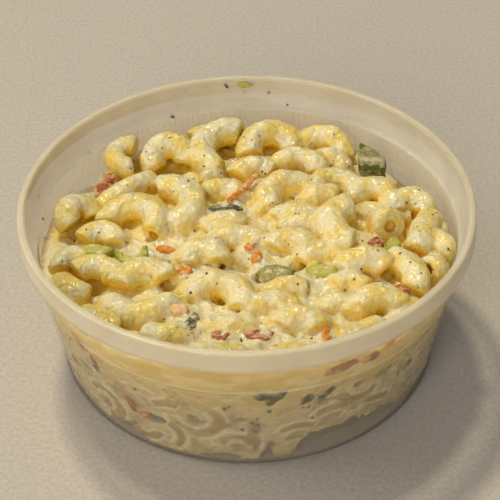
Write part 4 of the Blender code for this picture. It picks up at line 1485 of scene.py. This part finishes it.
# Raising each colour to this power darkens and deepens it: partly wet contact, partly painted shade.
DEEPENING = 1.45
PRESSED_LOOK = ("plain", 0.2)
WALL_CHIPS = [
    ("red_pepper", -31.2, 14.6, -62, 6.6, 1.8), ("carrot", -27.2, 12.2, -12, 3.0, 1.5),
    ("red_pepper", -41.2, 24.4, -40, 3.6, 2.0), ("red_pepper", -52.6, 15.4, -30, 3.8, 1.8),
    ("red_pepper", -46.0, 27.6, -25, 6.4, 1.7), ("green_pepper", 6.3, 26.0, 48, 8.0, 2.6),
    ("olive", 3.4, 27.0, 10, 4.6, 3.2), ("olive", 13.8, 23.9, 42, 4.4, 2.6),
    ("olive", 17.9, 23.8, 42, 7.6, 2.2), ("red_pepper", 21.9, 32.3, 8, 9.2, 2.7),
    ("red_pepper", 29.6, 31.8, 2, 5.2, 2.7), ("carrot", 35.2, 33.0, 24, 3.4, 2.0),
    ("olive", -41.0, 21.4, -40, 2.6, 1.2), ("carrot", -92.0, 24.5, 86, 7.4, 1.5),
    ("celery", 162.2, 43.2, 4, 4.4, 1.8, 0.4), ("olive", 166.8, 43.0, 60, 1.5, 0.9, 0.4),
    ("olive", 155.8, 40.9, 0, 0.9, 0.7, 0.4), ("olive", 150.7, 37.7, 0, 0.8, 0.6, 0.4),
    ("olive", 181.9, 36.6, 20, 1.1, 0.7, 0.4), ("olive", 235.9, 34.3, 50, 0.9, 0.6, 0.4),
    ("olive", 242.9, 24.2, 30, 0.9, 0.7, 0.4),
]
RANDOM_CHIPS = 18
RANDOM_KINDS = ("carrot", "red_pepper", "celery", "olive", "carrot", "green_pepper")


def random_chips():
    draw = random.Random(29)
    rows = []
    for number in range(RANDOM_CHIPS):
        share = (number + draw.random() * 0.6) / RANDOM_CHIPS
        run = FRONT_REACH + 10 + (WHOLE_RUN - 2 * FRONT_REACH - 16) * share
        length = draw.uniform(3.0, 6.5)
        place = (run, draw.uniform(6, 25), draw.uniform(-70, 70))
        rows.append((RANDOM_KINDS[number % len(RANDOM_KINDS)], *place, length, draw.uniform(1.5, 2.4)))
    return rows


def make_chip(number, run, height, heading, length, width, depth=CHIP_DEPTH):
    """A flat piece of uneven outline, laid on the inside of the wall."""
    draw = random.Random(100 + number)
    wobble = [draw.uniform(0.82, 1.15) for _ in range(CHIP_SIDES)]
    cosine, sine = math.cos(math.radians(heading)), math.sin(math.radians(heading))
    rings = []
    for share, inward in ((0.92, -CHIP_OVERLAP), (1.0, 0.02), (0.8, 0.8 * depth), (0.4, depth)):
        ring = []
        for stretch, (x, y) in zip(wobble, circle(CHIP_SIDES)):
            along = share * stretch * x * length / 2
            across = share * stretch * y * width / 2
            chip_run = run + along * cosine - across * sine
            ring.append(on_wall(chip_run, height + along * sine + across * cosine, inward))
        rings.append(ring)
    points, faces = skin(rings, on_wall(run, height, -CHIP_OVERLAP), on_wall(run, height, depth))
    chip = mesh_object(f"chip_{number}", points, [face[::-1] for face in faces])
    mark_rim(chip)
    return chip


# Darker copies of each finish for chips at the wall, partly painted shade of the tub's shaded side.
pressed_finishes = {}
for kind, colours in VEGETABLES.items():
    deeper = [(*(part**DEEPENING for part in colour[:3]), 1) for colour in colours]
    pressed_finishes[kind] = vegetable_material(f"{kind}_behind_plastic", deeper, *PRESSED_LOOK)

chips = {}
for number, (kind, run, height, *facts) in enumerate(WALL_CHIPS + random_chips()):
    place = "on_bare_wall" if height > LEDGE_HEIGHT else "at_wall"
    chips.setdefault((kind, place), []).append(make_chip(number, run, height, *facts))
for (kind, place), parts in chips.items():
    finish = finishes[kind] if place == "on_bare_wall" else pressed_finishes[kind]
    piece = join_pieces(f"{kind}_chips_{place}", parts, finish)
    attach(piece, "root")
print("kinds of chip", sorted(chips))

# %% [markdown]
# ## Smears on the bare wall
#
# Above the salad the wall isn't clean: dressing left thin films, drops and beads on it, most of them
# along the ledge. They are chips again, but only a fraction of a millimetre thick and nearly see-through.
# Those that the front view shows are listed one by one, the others are drawn at random.

# %% Smears
SMEAR_DEPTH = 0.10
SMEARS = [
    (163.8, 43.3, 2, 8.0, 1.5), (117.4, 41.8, 1, 11.8, 1.1), (160.0, 38.2, 5, 14.4, 1.3),
    (162.2, 37.1, 0, 1.3, 0.9), (160.4, 37.3, 0, 1.0, 0.8), (96.9, 44.0, 10, 7.0, 1.3),
    (112.4, 36.7, 0, 2.0, 1.0), (105.2, 36.2, 8, 1.5, 0.9), (97.2, 36.7, 0, 1.8, 1.0),
    (87.7, 36.7, 4, 1.5, 0.9), (180.3, 40.3, 76, 4.4, 1.2), (117.9, 27.3, 62, 3.2, 1.0),
]
RANDOM_SMEARS = 26
LONG_SHARE = 0.35
FIRST_SMEAR = 300
SMEAR_COLOURS = ((0.96, 0.92, 0.80, 1), (0.86, 0.78, 0.60, 1))


def smear_material():
    """Dressing so thin that the plastic shows through it."""
    material, tree, shader, place = new_finish("thin_dressing", {"Alpha": 0.26, "Specular IOR Level": 0.6})
    colour_with(tree, shader, mix(tree, cloud(tree, place, 1.6, 3.0, 0.35, 0.65), *SMEAR_COLOURS))
    wet_finish(tree, shader, place)
    return material


def random_smears():
    """Some long smears on the upper wall, and more small drops along the ledge."""
    draw = random.Random(37)
    rows = []
    for number in range(RANDOM_SMEARS):
        run = WHOLE_RUN * (number + draw.uniform(0.1, 0.9)) / RANDOM_SMEARS
        long = draw.random() < LONG_SHARE
        height = draw.uniform(37.6, 43.4) if long else draw.uniform(36.2, 39.0)
        length = draw.uniform(3.0, 7.0) if long else draw.uniform(0.7, 1.6)
        rows.append((run, height, draw.uniform(-12, 12), length, draw.uniform(0.8, 1.3)))
    return rows


smears = []
for number, row in enumerate(SMEARS + random_smears(), FIRST_SMEAR):
    smears.append(make_chip(number, *row, SMEAR_DEPTH))
wall_smears = join_pieces("dressing_smears", smears, smear_material())
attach(wall_smears, "root")
print("smear faces", len(wall_smears.data.polygons))

# %% [markdown]
# ## Specks of black pepper and herbs
#
# Ground pepper is strewn over everything. Scattering is what Geometry Nodes do best: points are drawn
# on the food's faces from a seed, and a small rough grain is set on each, turned and scaled at random.

# %% Specks
SPECK_COLOURS = ((0.05, 0.036, 0.02, 1), (0.28, 0.21, 0.12, 1))
SPECK_OVERLAP = 0.16
STREWN_SLOPE = 0.15
STREWN_LOWEST = 30.0


def grain(name, stretch, unevenness):
    """A rough grain of twenty faces, about one millimetre across."""
    bm = bmesh.new()
    bmesh.ops.create_icosphere(bm, subdivisions=1, radius=0.5)
    draw = random.Random(5)
    for vert in bm.verts:
        vert.co = vert.co * draw.uniform(1 - unevenness, 1 + unevenness) * Vector(stretch)
    points = [tuple(vert.co) for vert in bm.verts]
    faces = [[vert.index for vert in face.verts] for face in bm.faces]
    bm.free()
    return mesh_object(name, points, faces)


def scatter_tree():
    """Strews grains of random sizes and turns on the faces that the tree is given."""
    numbers = {"Density": "Float", "Smallest": "Float", "Largest": "Float", "Seed": "Int"}
    tree, given = new_tree("scatter", {"Grain": "Object", **numbers})
    spread = tree.nodes.new("GeometryNodeDistributePointsOnFaces")
    for source, target in (("Geometry", "Mesh"), ("Density", "Density"), ("Seed", "Seed")):
        tree.links.new(given[source], spread.inputs[target])
    range_of_sizes = {2: given["Smallest"], 3: given["Largest"], "Seed": given["Seed"]}
    size = node(tree, "FunctionNodeRandomValue", range_of_sizes, output=1, data_type="FLOAT")
    shape = node(tree, "GeometryNodeObjectInfo", {"Object": given["Grain"]}, output="Geometry")
    inputs = {label: spread.outputs[label] for label in ("Points", "Rotation")}
    inputs.update({"Instance": shape, "Scale": size})
    copies = node(tree, "GeometryNodeInstanceOnPoints", inputs)
    turned = node(tree, "FunctionNodeRandomValue", {"Max": (0, 0, 6.28)}, data_type="FLOAT_VECTOR")
    copies = node(tree, "GeometryNodeRotateInstances", {"Instances": copies, "Rotation": turned})
    return end_tree(tree, given, node(tree, "GeometryNodeRealizeInstances", {"Geometry": copies}))


def upper_faces(name, sources):
    """The faces of some pieces that look up, as a ground to strew on."""
    bm = bmesh.new()
    for source in sources:
        bm.from_mesh(source.data)
    spare = []
    for face in bm.faces:
        if face.normal.z < STREWN_SLOPE or face.calc_center_median().z < STREWN_LOWEST * MM:
            spare.append(face)
    bmesh.ops.delete(bm, geom=spare, context="FACES")
    return object_of(name, bm)


def speck_material():
    material, tree, shader, place = new_finish("black_pepper", {"Roughness": 0.5})
    colour_with(tree, shader, mix(tree, cloud(tree, place, 1.2, 2.0, 0.35, 0.65), *SPECK_COLOURS))
    return material


scatter = scatter_tree()
round_grain = grain("round_grain", (1.0, 0.9, 0.6), 0.2)
flat_grain = grain("flat_grain", (1.5, 0.7, 0.2), 0.35)
top_ground = upper_faces("top_ground", [dressing, elbows])
black_pepper = speck_material()
strewn = [
    ("pepper_specks", top_ground, round_grain, 15000.0, (0.2, 0.8), 2, black_pepper, "olive"),
    ("pepper_specks_at_wall", dressing_side, round_grain, 13000.0, (0.4, 1.4), 4, black_pepper, "olive"),
    ("herb_bits", top_ground, flat_grain, 1400.0, (0.5, 1.4), 6, finishes["green_pepper"], "green_pepper"),
]
for name, ground, shape, density, (smallest, largest), seed, finish, slot_name in strewn:
    sizes = {"Smallest": smallest, "Largest": largest}
    values = {"Grain": shape, "Density": density, **sizes, "Seed": seed, "Finish": finish}
    piece = run_tree(new_object(name, ground.data.copy()), scatter, values)
    press_to_wall(piece, SPECK_OVERLAP)
    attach(piece, "root")
    print(name, "faces", len(piece.data.polygons))
for spare in (round_grain, flat_grain, top_ground):
    bpy.data.objects.remove(spare, do_unlink=True)

# %% [markdown]
# The elbows, the dressing and the dressing at the wall together stand for the one salad node.

# %% Salad pieces on the frame
for piece in (elbows, dressing, dressing_side):
    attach(piece, "root")
    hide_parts("salad")
print("salad pieces stand for the salad node")

# %% [markdown]
# ## The tub
#
# The tub is thin, milky plastic: you see the food through it, but paler and duller. A plain alpha on
# a glossy shader gives that at little cost, because each of the wall's two faces adds its own veil. How
# much is hidden differs from part to part: least by the wall, a little more by the band under the
# ledge, and most by the lip, the neck inside its skirt and the dark edge at the foot, which is a painted
# shadow line where the tub meets the table. A paler ring at the lip's inner edge and at the foot of the
# ribs is a painted highlight. The wall is turned again with many more sides than the frame's, and with
# its small roundings.


# %% The tub's outline
def arc_points(centre, radius, start, end, steps):
    """Points on a rounding, from one angle to another in degrees."""
    turns = np.radians(np.linspace(start, end, steps))
    return [(centre[0] + radius * math.cos(turn), centre[1] + radius * math.sin(turn)) for turn in turns]


def tub_outline():
    """The shell's cross-section as radius and height, from the foot up the outside and down the inside."""
    rib_out = RIB_RADIUS + WALL
    ledge_out = LEDGE_RADIUS + WALL
    skirt_radius = LIP_RADIUS - WALL
    neck = float(inner_radius(SKIRT_CEILING)) + WALL
    outline = arc_points((BASE_RADIUS - BASE_CORNER, BASE_CORNER), BASE_CORNER, -90, 0, 7)
    outline += [
        (rib_out - 0.1, RIB_FOOT - 0.8), (rib_out + 0.15, RIB_FOOT - 0.3),
        (rib_out + 0.15, RIB_FOOT + 0.2), (rib_out, RIB_FOOT + 0.6),
        (ledge_out, LEDGE_HEIGHT - LEDGE_SHIFT - 0.4), (ledge_out + 0.3, LEDGE_HEIGHT - LEDGE_SHIFT + 0.1),
        (LEDGE_RADIUS + LEDGE_STEP + WALL, LEDGE_HEIGHT + LEDGE_RISE - LEDGE_SHIFT),
        (neck, SKIRT_CEILING - 0.2), (neck + 0.2, SKIRT_CEILING), (skirt_radius - 0.2, SKIRT_CEILING),
        (skirt_radius, SKIRT_CEILING - 0.2), (skirt_radius, SKIRT_FOOT + 0.15),
        (skirt_radius + 0.15, SKIRT_FOOT), (LIP_RADIUS - 0.2, SKIRT_FOOT), (LIP_RADIUS, SKIRT_FOOT + 0.2),
        (LIP_RADIUS, SKIRT_STEP - 0.15), (LIP_RADIUS - 0.18, SKIRT_STEP + 0.15),
    ]
    outline += arc_points((LIP_RADIUS - 0.18 - LIP_ROUND, TUB_HEIGHT - LIP_ROUND), LIP_ROUND, 0, 90, 6)
    outline += arc_points((LIP_EDGE_RADIUS + 0.5, TUB_HEIGHT - 0.5), 0.5, 90, 180, 5)
    outline += [
        (LEDGE_RADIUS + LEDGE_STEP, LEDGE_HEIGHT + LEDGE_RISE + 0.2),
        (LEDGE_RADIUS + LEDGE_STEP - 0.3, LEDGE_HEIGHT + LEDGE_RISE - 0.15),
        (LEDGE_RADIUS + 0.2, LEDGE_HEIGHT + 0.15), (LEDGE_RADIUS, LEDGE_HEIGHT - 0.2),
        (RIB_RADIUS, RIB_FOOT),
    ]
    outline += arc_points((BASE_RADIUS - BASE_CORNER, BASE_CORNER), BASE_CORNER - WALL, 0, -90, 5)
    return outline


print("points on the tub's outline", len(tub_outline()))

# %% [markdown]
# Every part of the shell has the same plastic but for its colour and how much it hides. A face's part
# is found from its height and its distance from the axis. The outline is then turned round the axis.

# %% Plastic for each part of the tub
PLASTIC = {
    "IOR": 1.49,
    "Specular IOR Level": 0.5,
    "Subsurface Weight": 1.0,
    "Subsurface Radius": (1.0, 0.9, 0.7),
    "Subsurface Scale": 1.2 * MM,
    "Coat Weight": 0.3,
    "Coat Roughness": 0.1,
}
PLASTIC_ROUGHNESS = (0.28, 0.42)
PARTS = {
    "milky_wall": (0.18, (0.68, 0.59, 0.43, 1), (0.74, 0.65, 0.49, 1)),
    "milky_band": (0.22, (0.90, 0.76, 0.48, 1), (0.95, 0.82, 0.54, 1)),
    "milky_lip": (0.66, (0.86, 0.74, 0.54, 1), (0.92, 0.80, 0.60, 1)),
    # A paler ring: painted highlight along the lip's inner edge and the step at the foot of the ribs.
    "milky_ring": (0.36, (0.94, 0.85, 0.64, 1), (0.97, 0.90, 0.70, 1)),
    # A dark line at the foot: painted shadow where the tub meets the table.
    "dark_edge": (0.55, (0.20, 0.15, 0.10, 1), (0.26, 0.20, 0.13, 1)),
    "milky_neck": (0.45, (0.80, 0.73, 0.60, 1), (0.86, 0.79, 0.66, 1)),
}
RIB_PLASTIC = (0.09, (0.80, 0.70, 0.50, 1), (0.86, 0.76, 0.56, 1))
RING_HEIGHTS = (RIB_FOOT - 0.75, RIB_FOOT + 0.25)
FOOT_EDGE_HEIGHT = 0.6


def plastic_material(name, alpha, dull, pale):
    """Milky plastic that lets light through: the alpha is how much one face of it hides."""
    material, tree, shader, place = new_finish(name, {"Alpha": alpha, **PLASTIC})
    colour_with(tree, shader, mix(tree, cloud(tree, place, 9.0, 3.0, 0.3, 0.7), dull, pale))
    gloss = cloud(tree, place, 3.0, 3.0, 0.3, 0.7, *PLASTIC_ROUGHNESS)
    tree.links.new(gloss, shader.inputs["Roughness"])
    bump(tree, shader, (noise(tree, place, 1.5, 2.0), 0.03))
    return material


def part_of(face):
    """The part of the tub that a face belongs to, by its height and its distance from the axis."""
    place = face.center / MM
    reach = math.hypot(place.x, place.y)
    if place.z > LEDGE_HEIGHT + 0.3:
        # Painted highlight along the lip's inner edge.
        if place.z > TUB_HEIGHT - 0.35 and reach < LIP_EDGE_RADIUS + 0.4:
            return "milky_ring"
        in_skirt = place.z < SKIRT_CEILING and reach < LIP_RADIUS - WALL - 0.4
        return "milky_neck" if in_skirt else "milky_lip"
    if place.z > RING_HEIGHTS[0]:
        # Painted highlight along the step at the foot of the ribs.
        on_ring = place.z < RING_HEIGHTS[1] and reach > RIB_RADIUS + WALL / 2
        return "milky_ring" if on_ring else "milky_band"
    # Painted shadow line at the foot, where the tub meets the table.
    at_edge = place.z < FOOT_EDGE_HEIGHT and reach > BASE_RADIUS - BASE_CORNER
    return "dark_edge" if at_edge else "milky_wall"


tub_turns = circle(TUB_SIDES)
tub_rings = [[(radius * x, radius * y, height) for x, y in tub_turns] for radius, height in tub_outline()]
tub_points, tub_faces = skin(tub_rings, (0, 0, 0), (0, 0, WALL))
tub_shell = mesh_object("tub_shell", tub_points, tub_faces, sharp=45)
for name, facts in PARTS.items():
    tub_shell.data.materials.append(plastic_material(name, *facts))
part_names = list(PARTS)
for face in tub_shell.data.polygons:
    face.material_index = part_names.index(part_of(face))
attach(tub_shell, "root")
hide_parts("tub")
print("tub faces", len(tub_faces))

# %% [markdown]
# ## Ribs under the ledge
#
# A ring of fine upright ribs runs round the inside of the wall, under the ledge. All ribs are alike, so
# a Geometry Nodes tree sets one thin bar on each point of a circle.

# %% Ribs
RIB_COUNT = 200
RIB_SIDES = 6
RIB_SIZES = {
    "Ring Radius": (RIB_RADIUS + 0.15) * MM,
    "Rib Height": (LEDGE_HEIGHT - RIB_FOOT - 0.8) * MM,
    "Rib Width": 0.3 * MM,
    "Foot": (RIB_FOOT + 0.3) * MM,
}


def rib_tree():
    """Sets a thin upright bar on each point of a circle."""
    tree, given = new_tree("ribs", {"Count": "Int", **dict.fromkeys(RIB_SIZES, "Float")})
    ring = node(tree, "GeometryNodeMeshCircle", {"Vertices": given["Count"], "Radius": given["Ring Radius"]})
    sizes = {"Vertices": RIB_SIDES, "Radius": given["Rib Width"], "Depth": given["Rib Height"]}
    bar = node(tree, "GeometryNodeMeshCylinder", sizes)
    copies = node(tree, "GeometryNodeInstanceOnPoints", {"Points": ring, "Instance": bar})
    real = node(tree, "GeometryNodeRealizeInstances", {"Geometry": copies})
    middle = math_of(tree, "ADD", given["Foot"], math_of(tree, "MULTIPLY", given["Rib Height"], 0.5))
    lift = node(tree, "ShaderNodeCombineXYZ", {"Z": middle})
    raised = node(tree, "GeometryNodeSetPosition", {"Geometry": real, "Offset": lift})
    return end_tree(tree, given, raised)


ribs = mesh_object("tub_ribs", [(0, 0, 0)], [])
rib_plastic = plastic_material("milky_ribs", *RIB_PLASTIC)
run_tree(ribs, rib_tree(), {"Count": RIB_COUNT, **RIB_SIZES, "Finish": rib_plastic})
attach(ribs, "root")
print("ribs", RIB_COUNT)
